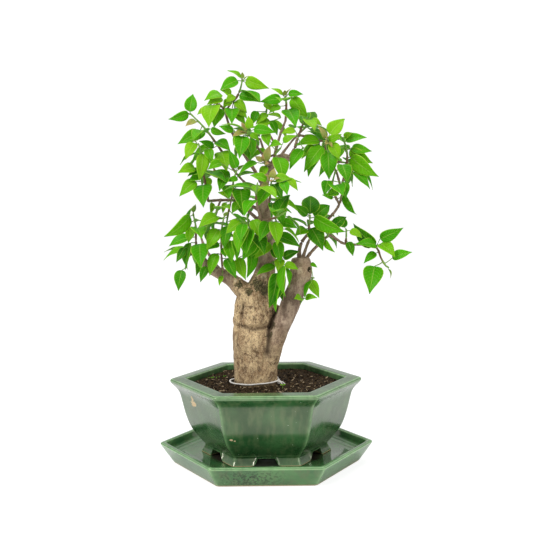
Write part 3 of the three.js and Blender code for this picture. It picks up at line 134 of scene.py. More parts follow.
SHOOTS = [
    Shoot("upper_left", [[-38, -3, 398], [-56, -6, 427], [-76, -6, 455], [-95, -4, 475]], [
          [-97, 479, -93, 503, 17], [-99, 477, -126, 469, 7], [-89, 466, -103, 459, 11],
          [-85, 452, -114, 436, 14], [-69, 456, -49, 449, 6], [-70, 433, -97, 407, 16],
          [-62, 439, -43, 426, 17], [-56, 427, -48, 399, 23], [-76, 453, -89, 440, 12],
          [-66, 431, -86, 440, 11]], tuft=1, more=1),
    Shoot("left", [[-74, -2, 361], [-76, -10, 375], [-80, -18, 399], [-81, -20, 420], [-85, -20, 435]], [
          [-80, 382, -79, 353, 25], [-90, 387, -112, 367, 17], [-91, 405, -113, 398, 16],
          [-79, 423, -85, 387, 18], [-90, 437, -102, 415, 17], [-73, 429, -67, 411, 13],
          [-71, 391, -77, 375, 11], [-81, 402, -101, 393, 12], [-84, 393, -100, 388, 11],
          [-69, 358, -72, 342, 7]], tuft=1, more=2),
    Shoot("left_inner", [[-37, -2, 361], [-40, -16, 371], [-40, -26, 386], [-36, -30, 399]], [
          [-44, 392, -74, 395, 17], [-50, 381, -45, 363, 15], [-31, 376, -28, 347, 25],
          [-36, 404, -45, 428, 13], [-50, 392, -58, 374, 16], [-34, 390, -49, 386, 9],
          [-47, 366, -61, 372, 11], [-34, 358, -43, 343, 12], [-33, 355, -28, 340, 9],
          [-51, 358, -55, 343, 7], [-56, 411, -73, 402, 14]], tuft=1, more=2),
    Shoot("apex", [[-42, -1, 490], [-35, -3, 497], [-30, -3, 507], [-27, -2, 519]], [
          [-29, 523, -47, 532, 9], [-22, 520, 9, 508, 10], [-33, 519, -57, 506, 18],
          [-41, 482, -41, 461, 20], [-37, 493, -21, 476, 13], [-32, 500, -3, 490, 15],
          [-23, 517, -11, 508, 8], [-42, 501, -56, 507, 11], [-37, 499, -50, 489, 11],
          [-37, 477, -23, 460, 12], [-36, 483, -21, 468, 13]], tuft=3, more=1),
    Shoot("apex_left", [[-49, -1, 478], [-56, -6, 486], [-65, -10, 490], [-71, -12, 486]], [
          [-55, 501, -77, 492, 17], [-57, 484, -65, 457, 20], [-74, 482, -87, 474, 9],
          [-71, 479, -72, 460, 12], [-54, 496, -74, 487, 15], [-43, 493, -53, 483, 12]], more=1),
    Shoot("apex_right", [[30, 2, 468], [31, -2, 481], [31, -3, 491], [30, -3, 496]], [
          [26, 500, 11, 508, 8], [34, 501, 54, 500, 9], [24, 495, -4, 491, 12], [39, 496, 61, 468, 13],
          [33, 481, 43, 456, 24], [23, 485, 8, 476, 12]], tuft=3, more=1),
    Shoot("rosette_left", [[-8, -19, 431], [-14, -26, 441], [-20, -34, 450]], [
          [-18, 455, -19, 472, 11], [-25, 450, -40, 445, 11], [-17, 449, -5, 439, 9],
          [-12, 454, 17, 449, 14], [-27, 445, -31, 416, 21], [-25, 453, -55, 460, 9],
          [-32, 448, -39, 433, 9], [-39, 452, -58, 459, 9], [-17, 444, -15, 418, 13]], tuft=2),
    Shoot("rosette_centre", [[10, -2, 407], [6, -18, 408], [1, -32, 410]], [
          [3, 413, 9, 434, 11], [-2, 412, -11, 419, 8], [-9, 411, -32, 396, 13],
          [4, 407, -4, 388, 12]], tuft=2),
    Shoot("star", [[5, -4, 348], [8, -34, 365], [9, -50, 379], [10, -58, 387]], [
          [11, 391, 14, 404, 9], [4, 389, -18, 395, 13], [6, 383, -5, 380, 8], [15, 390, 36, 390, 13],
          [13, 383, 24, 363, 16], [6, 377, -9, 354, 21], [30, 390, 44, 374, 11], [15, 363, 45, 347, 16],
          [15, 351, 37, 343, 11], [25, 386, 30, 369, 13]], tuft=3, more=2),
    Shoot("right", [[73, 0, 440], [79, -14, 438], [84, -26, 439]], [
          [87, 447, 108, 467, 20], [76, 439, 42, 432, 19], [78, 431, 53, 397, 21], [85, 423, 86, 387, 23],
          [88, 435, 100, 413, 16], [72, 427, 59, 391, 18], [81, 427, 73, 390, 12], [67, 433, 51, 414, 12],
          [84, 438, 103, 447, 9], [82, 440, 72, 458, 10]], tuft=3),
    Shoot("right_outer", [[104, 0, 376], [109, -2, 397], [112, -2, 416], [110, -2, 431], [106, -4, 441]], [
          [109, 438, 138, 442, 16], [118, 429, 145, 424, 11], [117, 417, 154, 390, 14],
          [116, 427, 147, 408, 11], [120, 397, 142, 373, 16], [104, 429, 94, 409, 15],
          [125, 402, 148, 371, 14], [106, 442, 119, 449, 9]], tuft=1, more=3),
    Shoot("right_low", [[101, -4, 355], [94, -12, 368], [91, -20, 382], [94, -26, 397]], [
          [103, 407, 109, 382, 20], [106, 384, 108, 362, 13], [85, 386, 79, 366, 15], [92, 363, 77, 367, 9],
          [108, 367, 124, 340, 6], [98, 371, 81, 366, 13]], more=1),
    Shoot("lower_left", [[-91, -10, 295], [-91, -18, 309], [-91, -18, 327], [-94, -16, 343]], [
          [-102, 332, -94, 353, 8], [-98, 341, -132, 315, 12], [-97, 326, -101, 305, 13],
          [-100, 312, -128, 300, 17], [-86, 303, -84, 272, 24], [-98, 305, -103, 268, 14],
          [-107, 298, -118, 279, 10], [-90, 280, -92, 260, 8]], tuft=1, more=1),
    Shoot("limb_tip", [[-88, -8, 290], [-98, -10, 290], [-104, -10, 281], [-106, -9, 271]], [
          [-104, 295, -137, 280, 14], [-111, 268, -116, 240, 16]]),
    Shoot("left_low", [[-55, -4, 259], [-57, -16, 279], [-57, -26, 301], [-56, -32, 323],
          [-53, -34, 339]], [
          [-61, 341, -86, 327, 20], [-60, 324, -76, 297, 18], [-48, 328, -53, 298, 16],
          [-48, 309, -43, 279, 16], [-63, 291, -73, 261, 15], [-51, 284, -38, 257, 16],
          [-60, 305, -76, 297, 12], [-56, 300, -51, 286, 9], [-57, 260, -61, 247, 7]], tuft=1, more=1),
    Shoot("low_centre", [[-2, -6, 297], [-11, -28, 312], [-19, -40, 326], [-22, -46, 342]], [
          [-24, 324, -27, 292, 18], [-12, 306, -30, 281, 17], [-31, 334, -50, 319, 16],
          [-14, 337, -3, 312, 16], [-8, 305, -19, 284, 15], [-17, 295, -24, 257, 12],
          [-12, 290, -21, 262, 11], [-41, 310, -37, 282, 9], [-35, 284, -25, 254, 15]], more=1),
    Shoot("front_low", [[6, -6, 305], [11, -26, 312], [17, -38, 323], [15, -44, 338]], [
          [17, 314, 48, 299, 18], [8, 303, -14, 283, 17], [17, 307, 21, 277, 16], [5, 334, -7, 309, 17],
          [21, 334, 44, 325, 14], [26, 324, 45, 306, 9]]),
    Shoot("hanging", [[8, -8, 276], [16, -24, 279], [22, -31, 273]], [
          [17, 265, 5, 219, 21], [24, 264, 24, 227, 16], [14, 273, -12, 260, 14], [27, 277, 45, 270, 11],
          [20, 285, 8, 301, 15], [22, 283, 17, 266, 14], [25, 285, 47, 294, 13], [26, 275, 27, 235, 11],
          [22, 256, 15, 213, 13], [27, 272, 31, 245, 9]]),
    Shoot("right_centre", [[60, -5, 317], [60, -13, 326], [61, -18, 337]], [
          [61, 342, 63, 365, 25], [67, 338, 89, 352, 21], [57, 340, 39, 355, 13], [67, 338, 108, 319, 12],
          [63, 323, 78, 293, 23], [57, 326, 29, 335, 11], [56, 322, 40, 313, 15]], tuft=1),
    Shoot("right_inner", [[74, -10, 302], [84, -16, 312], [89, -12, 323]], [
          [81, 307, 94, 291, 5], [72, 293, 72, 267, 13], [93, 324, 111, 337, 16], [84, 324, 73, 340, 13]]),
    Shoot("limb_sprout", [[46, -14, 222], [51, -22, 229]], [
          [50, 230, 38, 231, 12], [54, 230, 70, 231, 11]]),
    Shoot("stub_sprout", [[55, -8, 256], [65, -13, 256]], [
          [61, 253, 73, 229, 13], [62, 276, 71, 270, 5], [62, 252, 53, 231, 9]]),
    Shoot("far_right", [[146, 0, 299], [153, -4, 292], [157, -5, 281], [163, -5, 271], [166, -5, 269]], [
          [150, 297, 120, 328, 14], [156, 307, 187, 322, 14], [156, 300, 174, 283, 20],
          [172, 281, 199, 289, 15], [150, 299, 120, 302, 15], [148, 270, 139, 235, 27],
          [150, 288, 133, 274, 12]], tuft=1),
    Shoot("long_right", [[109, -1, 301], [110, -7, 310], [110, -9, 319]], [
          [112, 304, 119, 284, 12], [108, 323, 100, 339, 12], [115, 319, 131, 309, 12]]),
    Shoot("front_mid_top", [[-8, -62, 352], [-10, -72, 368], [-8, -78, 384]], more=4),
    Shoot("front_mid_right", [[-4, -48, 336], [14, -60, 340], [28, -66, 348]], more=4),
    Shoot("front_mid_left", [[0, -26, 322], [-16, -46, 328], [-30, -58, 338]], more=4),
    Shoot("left_front", [[-58, -2, 361], [-62, -22, 350], [-66, -36, 336]], more=3),
    Shoot("centre_top", [[2, -12, 417], [14, -30, 421], [22, -40, 429]], [
          [10, 434, 25, 433, 12], [3, 427, -17, 414, 11], [26, 437, 44, 445, 11],
          [1, 448, 7, 431, 13]], more=1),
    Shoot("right_front", [[36, -6, 416], [44, -18, 421], [52, -26, 429]], [
          [42, 452, 23, 448, 11], [52, 429, 34, 401, 16]]),
    Shoot("right_top", [[47, -4, 446], [52, -7, 459], [58, -9, 469]], [
          [64, 466, 78, 458, 10]], more=3),
    Shoot("top_mid", [[17, 2, 430], [8, 8, 450], [4, 10, 470], [6, 10, 488]], [
          [-8, 479, -15, 460, 12], [7, 475, -10, 461, 12], [2, 490, 15, 476, 11], [9, 466, -11, 456, 13],
          [12, 466, 33, 439, 13], [24, 470, 4, 474, 10], [11, 466, 19, 446, 11]]),
    Shoot("left_top", [[-28, 10, 425], [-34, -8, 438], [-38, -18, 452]], more=2),
    Shoot("back_mid", [[-6, 72, 362], [-8, 86, 358], [-8, 98, 350]], more=4),
    Shoot("back_mid_low", [[-4, 52, 338], [-14, 70, 328], [-24, 82, 314]], more=4),
    Shoot("back_left", [[-60, 58, 385], [-70, 64, 404], [-72, 66, 424]], more=4),
    Shoot("back_left_low", [[-44, 48, 365], [-50, 58, 340], [-54, 64, 318]], more=3),
    Shoot("back_right", [[40, 40, 440], [52, 48, 452], [64, 52, 462]], more=4),
    Shoot("back_top", [[-4, 38, 442], [-14, 46, 446], [-24, 52, 448]], more=4),
    Shoot("limb_back", [[-90, 46, 316], [-84, 56, 322], [-74, 60, 326]], more=3),
    Shoot("limb_back_low", [[-84, 36, 298], [-98, 48, 290], [-108, 56, 280]], more=3),
    Shoot("stub_back", [[66, 36, 312], [76, 44, 322], [86, 48, 334]], more=4),
    Shoot("right_back", [[88, 36, 420], [86, 48, 432], [92, 58, 440]], more=4),
    Shoot("right_back_low", [[92, 18, 408], [104, 34, 410], [118, 44, 408]], more=4),
    Shoot("limb_low", [[-79, -10, 274], [-80, -17, 270]], [
          [-77, 273, -86, 252, 12]]),
]

STEM = {"base": 1.6, "tip": 1, "bud": 3, "apart": 3, "bare": 1.8}
LEAF = {"arch": 0.1, "long": 1.5, "slim": 0.5}
GOLDEN_ANGLE, TRIES = 137.5, 9
FRONT_LEAF = {
    "nearer": 2, "lean": 0.12, "baseTry": 3, "tipTry": 5, "petiole": 4, "rollDraw": 0.3, "rising": 0.5,
}
RULED_LEAF = {
    "first": 0.3, "last": 0.92, "turnDraw": 36, "turnTry": 40, "ahead": 0.35, "droop": 0.15,
    "droopDraw": 0.5, "droopTry": 0.06, "petiole": 5, "petioleDraw": 3, "petioleAhead": 0.5, "length": 31,
    "lengthDraw": 11, "shorter": 6, "width": 0.56, "widthDraw": 0.12, "upOutward": 0.35, "upAhead": 0.3,
}
YOUNG_LEAF = {
    "turnDraw": 300, "turnTry": 35, "petiole": 2.2, "petioleAhead": 2.6, "ahead": 0.9, "length": 9,
    "lengthDraw": 5, "width": 0.5, "upOutward": -0.4,
}

# ---------------------------------------------------------------- dimensions of the finer pieces

# How far from an edge of the glazed ware its rounding begins, and from what angle an edge stays sharp
EDGE, SHARP_EDGE = {"pot": 2.2, "foot": 1.2, "saucer": 1.6}, 42
CORNER_POINTS, POT_FLAT_POINTS, SAUCER_FLAT_POINTS = 7, 41, 13
# What is gone from the glaze: [x, y, z, half width, half height] of each chip
POT_CHIPS = [[-96.4, -34.5, 90.5, 8, 4.5], [-98.7, -34.1, 97.5, 2.6, 6.5], [-45.5, -91.9, 56, 2.2, 1.5],
             [-41, -91.2, 54.5, 1.4, 1]]
SAUCER_UNDER_POT_SHADE, POT_UNDERSIDE_SHADE = [SAUCER_FLOOR, 87, 6], [22, 66, 12]  # height, half width and half height of the painted shade under the pot

VOXEL = 0.95
TRUNK_SIDES, TRUNK_LEVELS, TRUNK_FOOT, LEVEL_STEP = 120, 144, 72, 1.3
# Finer swellings and hollows of the bark, as in TRUNK_LUMPS
BARK_LUMPS = [
    [-133, 213, 8, 10, -6], [-100, 191.5, 60, 1.7, -1.5], [-70, 190, 14, 6, -1.6], [-88, 230, 18, 6, 1.2],
    [-120, 227, 12, 4, 1.3], [-66, 140, 6, 9, -1.6], [-62, 152, 6, 12, -1.8], [-150, 180, 9, 12, -1.4],
    [-86, 176, 26, 5, 1.2], [-110, 158, 20, 3, -0.8], [-80, 205, 12, 9, 1.2], [-160, 160, 10, 18, -1],
    [120, 170, 9, 25, -1.5], [40, 190, 8, 20, -1.3], [80, 130, 10, 18, -1.2],
]
# Pale pruning scars, and dark patches coloured as moss: moss at the leader's base, in the crotches also
# painted shade, and painted shade in the limb's hole: [x, y, z, size]
SCARS = [[41, -20, 279, 3], [47, -20, 267, 5.5], [56, -15, 257, 4.5], [-39, -12, 253, 3.4],
         [-28, -14, 248, 2.6], [-1, -14, 259, 6], [-86, -13, 280, 4]]
DARK_PATCHES = [[-8, -14, 247, 11], [2, -14, 240, 10], [-20, -14, 238, 7], [-34, -10, 247, 6],
                [17, -8, 208, 8], [10, -17, 193, 6], [6, -20, 180, 5], [58, -13, 267, 3], [-40, 0, 200, 7]]
STUMP = [50, -8, 268, 18]  # the right limb's pruned end, as a scar
# Where along z or x the limbs turn grey and the burl, the string, the soil and the trunk's foot tell:
# [start, length] for what rises from 0 to 1, and [middle, spread] for what is 1 in the middle
RIGHT_LIMB_GREY, LEADER_GREY, LEFT_LIMB_GREY = [140, 55], [262, 8], [-40, -6]
BURL, BY_STRING, SOILED, ABOVE_FOOT = [214, 22], [TIE["z"], 8], [119, -5], [74, 6]
# Painted shade in grooves: a level crease that rises to both sides, an upright slot, and the line where
# limb and trunk meet
CREASE = {"z": 188.5, "rise": 4, "lowest": -85, "half": 50, "width": 2.4, "middle": -95, "reach": 60}
SLOT = {"angle": [-134, 8], "z": [213, 9]}
MEETING = {"offLimb": [0, 3], "offMiddle": [27, 6], "from": [146, 12], "to": [222, -8]}
# Wood where the trunk and the right limb meet
WEB = [[9, -1, 172, 5], [10.5, 0, 192, 5.5], [12, 0, 206, 5.5], [14, 1, 219, 4.5]]
# A round branch beside the CAD source's five-sided one, which is as thick as its corners
THIN_WOOD = 0.78

CRUMBS, SOIL_SIDES, SOIL_RINGS = 1500, 168, 40
PALE_ABOVE, CHIP_ABOVE = 0.84, 0.95  # the draws above which a crumb is pale, and a long chip
TRUNK_AT_SOIL = {"x": -13.4, "halfWidth": 30, "halfDepth": 28}
SOIL_BOTTOM = 39  # over the drain screens
MOSS = [[-76, 36, 4, 15], [-58, 44, 3, 10]]  # [x, y, spread, number of tufts]
SEEDLING = {"at": [22.0, -33.0], "top": [0.4, -0.6, 4.2], "width": 3.2,
            "leaves": [[4.2, -1.5, 1.2], [-3.4, -1.8, 1.6], [1.0, -3.0, 2.6]]}

# [place along the blade, half width beside the widest]
LEAF_OUTLINE = [[0, 0.07], [0.03, 0.42], [0.09, 0.74], [0.18, 0.95], [0.29, 1.0], [0.41, 0.95],
                [0.53, 0.82], [0.65, 0.63], [0.76, 0.41], [0.86, 0.22], [0.94, 0.09], [1, 0]]
LEAF_COLUMNS = [-1, -0.74, -0.4, 0, 0.4, 0.74, 1]
BLADE, FOLD = 0.36, 0.2  # a blade's thickness and the angle to which its halves rise
# A rounded blade beside the CAD source's six-sided one, which is as wide as its corners
FULLER = 1.06
# How near a packed point is to a leaf's tip, and how near where the shoot's stem took the tip in
TIP_REACH = [0.05, 0.6]
# How bronze or pinkish the young leaves of a shoot have come out, and how much so elsewhere
BRONZE = {"rosette_left": 0.9, "rosette_centre": 1, "star": 0.9, "apex": 0.5, "apex_right": 0.7,
          "right": 0.8}
SLIGHTLY_BRONZE = 0.35
# Leaves at the front that are bronze too, by their number in the shoot
BRONZE_LEAVES = {"upper_left": [2], "rosette_left": [1], "rosette_centre": [0, 1], "star": [0, 2],
                 "right": [9]}

# Strengths of light, 1 being white, and the staged floor's radius
SKY_LIGHT, SKY_SEEN, FLOOR_GLOW, FLOOR_RADIUS = 0.68, 1.05, 1.2, 9000
PHOTO_WIDTH = 533
CAMERA = {"y": -1425.6, "z": 421.9, "pitch": 0.1057, "roll": -0.0104, "lens": 71.58, "shift": 1.95}
# [where, size, power] in metres and watts, all turned to the middle of the tree
LAMPS = {"key": [(-1.3, -1.5, 1.9), 1.0, 40], "fill": [(1.6, -1.2, 1.1), 1.2, 10],
         "top": [(0.2, 0.4, 2.2), 1.4, 20]}
MIDDLE = (0, 0, 0.25)

# ---------------------------------------------------------------- vectors and curves, as in the CAD source

UP = np.array([0.0, 0.0, 1.0])
FACING = np.array([0.0, -0.8, 0.6])


def vec(p):
    return np.array(p[:3], dtype=float)


def unit(v):
    return v / np.linalg.norm(v)


def heading(angle):
    return np.array([math.cos(angle), math.sin(angle)])


def draw(seed):
    """A number from 0 to 1 that depends on the seed alone, by the usual sine hash."""
    value = math.sin(seed * 12.9898 + 78.233) * 43758.5453
    return value - math.floor(value)


def frame_along(direction, hint):
    """Two unit vectors square to a direction, the second of them as near to a hint as it can be."""
    up = hint - direction * np.dot(hint, direction)
    if np.linalg.norm(up) < 1e-3:
        up = np.cross(np.array([direction[2], direction[0], direction[1]]), direction)
    up = unit(up)
    return np.cross(direction, up), up


def turned(v, axis, angle):
    """A vector turned about a unit axis."""
    c, s = math.cos(angle), math.sin(angle)
    return v * c + np.cross(axis, v) * s + axis * np.dot(axis, v) * (1 - c)


def curve_point(points, place):
    """The point at a place from 0 to 1 along the Catmull-Rom curve through the points."""
    spans = len(points) - 1
    i = min(int(place * spans), spans - 1)
    t = place * spans - i
    p1, p2 = points[i], points[i + 1]
    p0 = points[i - 1] if i > 0 else 2 * p1 - p2
    p3 = points[i + 2] if i + 2 <= spans else 2 * p2 - p1
    m1, m2 = 0.5 * (p2 - p0), 0.5 * (p3 - p1)
    return p1 + t * m1 + t * t * (-3 * p1 + 3 * p2 - 2 * m1 - m2) + t**3 * (2 * p1 - 2 * p2 + m1 + m2)


def smooth_route(route, steps):
    """Points, directions and radii along a smooth curve through [x, y, z, radius] points."""
    points = [vec(p) for p in route]
    spans = len(route) - 1
    places = []
    for i in range(spans * steps + 1):
        place = i / (spans * steps)
        ahead = curve_point(points, min(place + 1e-4, 1))
        behind = curve_point(points, max(place - 1e-4, 0))
        start = min(int(place * spans), spans - 1)
        share = place * spans - start
        radius = route[start][3] + (route[start + 1][3] - route[start][3]) * share
        places.append((curve_point(points, place), unit(ahead - behind), radius))
    return places


def sideways(along, turn):
    """The unit vector square to a direction, at a turn from the one that points upwards most."""
    side, over = frame_along(along, UP)
    return over * math.cos(turn) + side * math.sin(turn)


def bent_hair(points, radii, steps):
    """A thin, smooth route through a few points."""
    return smooth_route([[*p, radius] for p, radius in zip(points, radii)], steps)


def wobble(point, size, seed=0.0):
    """Smooth noise from about -1 to 1, with waves of about the size."""
    return noise.noise(Vector((point[0] / size + seed, point[1] / size - seed, point[2] / size + 2 * seed)))


# ---------------------------------------------------------------- meshes


class Build:
    """Collects the points and faces of one mesh, with named values at its points."""

    def __init__(self, *names):
        self.points, self.faces, self.looks = [], [], []
        self.values = {name: [] for name in names}

    def add(self, points, faces, look=0, **values):
        start = len(self.points)
        self.points.extend([tuple(p) for p in points])
        self.faces.extend([tuple(start + i for i in face) for face in faces])
        self.looks.extend([look] * len(faces))
        for name, kept in self.values.items():
            given = values.get(name, 0.0)
            kept.extend(list(given) if hasattr(given, "__len__") else [given] * len(points))

    def mesh(self, name):
        mesh = bpy.data.meshes.new(name)
        mesh.from_pydata([(x * MM, y * MM, z * MM) for x, y, z in self.points], [], self.faces)
        mesh.polygons.foreach_set("material_index", self.looks)
        mesh.polygons.foreach_set("use_smooth", [True] * len(self.faces))
        for value, given in self.values.items():
            mesh.attributes.new(value, "FLOAT", "POINT").data.foreach_set("value", given)
        mesh.update()
        return mesh


def linked(name, data):
    """A new object in the scene."""
    thing = bpy.data.objects.new(name, data)
    bpy.context.scene.collection.objects.link(thing)
    return thing


def place(name, build, looks, slot, replaces=()):
    """Puts a finished build in the scene as a piece of the object."""
    piece = linked(name, build.mesh(name))
    for look in looks:
        piece.data.materials.append(look)
    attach(piece, "root")
    if replaces:
        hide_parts(*replaces)
    return piece


def apply_modifiers(piece):
    """Puts the modified mesh in the piece's place."""
    bpy.context.view_layer.update()
    graph = bpy.context.evaluated_depsgraph_get()
    mesh = bpy.data.meshes.new_from_object(piece.evaluated_get(graph), preserve_all_data_layers=True,
                                           depsgraph=graph)
    piece.modifiers.clear()
    piece.data = mesh


def band_faces(rings, count):
    """Faces of a closed loft through rings of so many points each."""
    faces = []
    for r in range(rings - 1):
        low, high = r * count, (r + 1) * count
        faces += [(low + i, low + (i + 1) % count, high + (i + 1) % count, high + i) for i in range(count)]
    last = (rings - 1) * count
    return faces + [tuple(range(count))[::-1], tuple(range(last, last + count))]


def ring_across(centre, direction, radius, sides):
    side, up = frame_along(direction, UP if abs(direction[2]) < 0.9 else np.array([1.0, 0, 0]))
    angles = [2 * math.pi * i / sides for i in range(sides)]
    return [centre + up * radius * math.cos(a) + side * radius * math.sin(a) for a in angles]


def add_tube(build, places, sides, look=0, **values):
    """A closed tube through (point, direction, radius) places. A value may be a list, with one for each."""
    rings = [ring_across(at, along, radius, sides) for at, along, radius in places]
    spread = {k: np.repeat(v, sides) if hasattr(v, "__len__") else v for k, v in values.items()}
    build.add([p for ring in rings for p in ring], band_faces(len(rings), sides), look, **spread)


# ---------------------------------------------------------------- materials


class Look:
    """A procedural material under construction."""

    def __init__(self, name, **sockets):
        self.material = bpy.data.materials.new(name)
        self.material.use_nodes = True
        self.tree = self.material.node_tree
        self.shader = self.tree.nodes["Principled BSDF"]
        self.coordinates = self.tree.nodes.new("ShaderNodeTexCoord").outputs["Object"]
        self.finish(**sockets)

    def set(self, node, socket, value):
        if isinstance(value, bpy.types.NodeSocket):
            self.tree.links.new(value, node.inputs[socket])
        elif isinstance(value, (tuple, list)) and len(value) == 3 and node.inputs[socket].type == "RGBA":
            node.inputs[socket].default_value = (*value, 1)
        else:
            node.inputs[socket].default_value = value

    def node(self, kind, output, sockets, **settings):
        node = self.tree.nodes.new(f"ShaderNode{kind}")
        for key, value in settings.items():
            setattr(node, key, value)
        for socket, value in sockets.items():
            self.set(node, socket, value)
        return node.outputs[output]

    def value(self, name):
        return self.node("Attribute", "Fac", {}, attribute_name=name)

    def math(self, operation, a, b=0.0):
        return self.node("Math", 0, {0: a, 1: b}, operation=operation)

    def plus(self, a, b):
        return self.math("ADD", a, b)

    def minus(self, a, b):
        return self.math("SUBTRACT", a, b)

    def times(self, a, b):
        return self.math("MULTIPLY", a, b)

    def most(self, a, b):
        return self.math("MAXIMUM", a, b)

    def step(self, value, low, high, to_low=0.0, to_high=1.0):
        """Maps low..high of a value to to_low..to_high, smoothly and clamped."""
        sockets = {"Value": value, "From Min": low, "From Max": high, "To Min": to_low, "To Max": to_high}
        return self.node("MapRange", 0, sockets, interpolation_type="SMOOTHSTEP")

    def mix(self, share, a, b):
        return self.node("Mix", 2, {0: share, 6: a, 7: b}, data_type="RGBA")

    def blend(self, value, low, high, first, second):
        """A first colour where a value is low and a second where it is high."""
        return self.mix(self.step(value, low, high), first, second)

    def stain(self, colour, other, value, low, high, amount=1.0):
        """A colour with an amount of another over it where a value is high."""
        return self.mix(self.step(value, low, high, 0, amount), colour, other)

    def vectors(self, operation, a, b):
        return self.node("VectorMath", 0, {0: a, 1: b}, operation=operation)

    def noise(self, size, detail=4.0, roughness=0.55, tall=1, distortion=0.0):
        """Noise with waves of about the size in millimetres, and so many times that upwards."""
        where = self.vectors("MULTIPLY", self.coordinates, (1000 / size, 1000 / size, 1000 / (size * tall)))
        sockets = {"Vector": where, "Scale": 1.0, "Detail": detail, "Roughness": roughness,
                   "Distortion": distortion}
        return self.node("TexNoise", 0, sockets)

    def cells(self, size):
        where = self.vectors("MULTIPLY", self.coordinates, [1000 / size] * 3)
        return self.node("TexVoronoi", "Distance", {"Vector": where, "Scale": 1.0})

    def patch(self, x, y, z, width, height, ragged, raggedness=1.6):
        """1 inside a ragged patch of the given half sizes round a point, and 0 outside."""
        shifted = self.vectors("SUBTRACT", self.coordinates, (x * MM, y * MM, z * MM))
        sizes = (1 / (width * MM), 1 / (width * MM), 1 / (height * MM))
        scaled = self.vectors("MULTIPLY", shifted, sizes)
        length = self.node("VectorMath", "Value", {0: scaled}, operation="LENGTH")
        return self.step(self.plus(length, self.times(self.minus(ragged, 0.5), raggedness)), 1.0, 0.85)

    def bump(self, height, depth, strength=1.0, normal=None):
        """A bump whose full height is a depth in millimetres."""
        sockets = {"Height": height, "Distance": depth * MM, "Strength": strength}
        if normal is not None:
            sockets["Normal"] = normal
        return self.node("Bump", 0, sockets)

    def finish(self, **sockets):
        for socket, value in sockets.items():
            self.set(self.shader, socket.replace("_", " ").title().replace("Ior", "IOR"), value)
        return self.material

    def shared(self, other, share):
        """The material with a share of its light by another shader."""
        both = self.node("MixShader", 0, {0: share, 1: self.shader.outputs[0], 2: other})
        self.tree.links.new(both, self.tree.nodes["Material Output"].inputs["Surface"])
        return self.material


def glaze_look(name, deep, clear, gloss, under_pot_shade, chips=()):
    """Glossy green glaze: pale where it ran thin over an edge, tan where clay is bare, and painted dark
    below as shade under the pot.
    """
    look = Look(name, ior=1.7, specular_tint=(1, 0.95, 0.78), coat_weight=0.15, coat_roughness=0.1,
                coat_ior=1.6)
    streak, mottle, thin_glaze = (0.10, 0.14, 0.062), (0.005, 0.042, 0.009), (0.30, 0.52, 0.24)
    # soil: the near-black glaze colour of the painted shade under the pot
    fleck, soil = (0.42, 0.5, 0.4), (0.012, 0.009, 0.005)
    dark_clay, pale_clay = (0.40, 0.27, 0.13), (0.66, 0.50, 0.30)
    colour = look.blend(look.noise(38, 3, 0.5, 0.8), 0.35, 0.68, deep, clear)
    colour = look.stain(colour, streak, look.noise(7, 3, 0.5, 5), 0.42, 0.72, 0.5)
    mottles = look.times(look.step(look.noise(3.4, 3), 0.49, 0.57), look.value("mottled"))
    colour = look.mix(mottles, colour, mottle)
    thin = look.math("POWER", look.value("thin"), 1.8)
    thin = look.times(thin, look.step(look.noise(9, 3), 0.2, 0.62, 0.4, 0.9))
    colour = look.mix(thin, colour, thin_glaze)
    flecks = look.times(look.step(look.cells(6.5), 0.10, 0.05), look.step(look.noise(16, 1), 0.56, 0.62))
    colour = look.mix(flecks, colour, fleck)
    bare = look.value("bare")
    ragged = look.noise(2.6, 3)
    for chip in chips:
        bare = look.most(bare, look.patch(*chip, ragged))
    colour = look.mix(bare, colour, look.mix(look.noise(2.2, 4), dark_clay, pale_clay))
    # Painted shade under the pot: the glaze turns near-black and rougher there
    shaded_under_pot = look.patch(0, 0, *under_pot_shade, look.noise(20, 3), 0.3)
    colour = look.mix(shaded_under_pot, colour, soil)
    roughness = look.step(look.noise(12, 4), 0.3, 0.7, *gloss)
    roughness = look.plus(roughness, look.times(look.most(bare, shaded_under_pot), 0.45))
    relief = look.minus(look.noise(11, 2, 0.4), look.times(bare, 1.5))
    return look.finish(base_color=colour, roughness=roughness, normal=look.bump(relief, 0.35, 0.35))


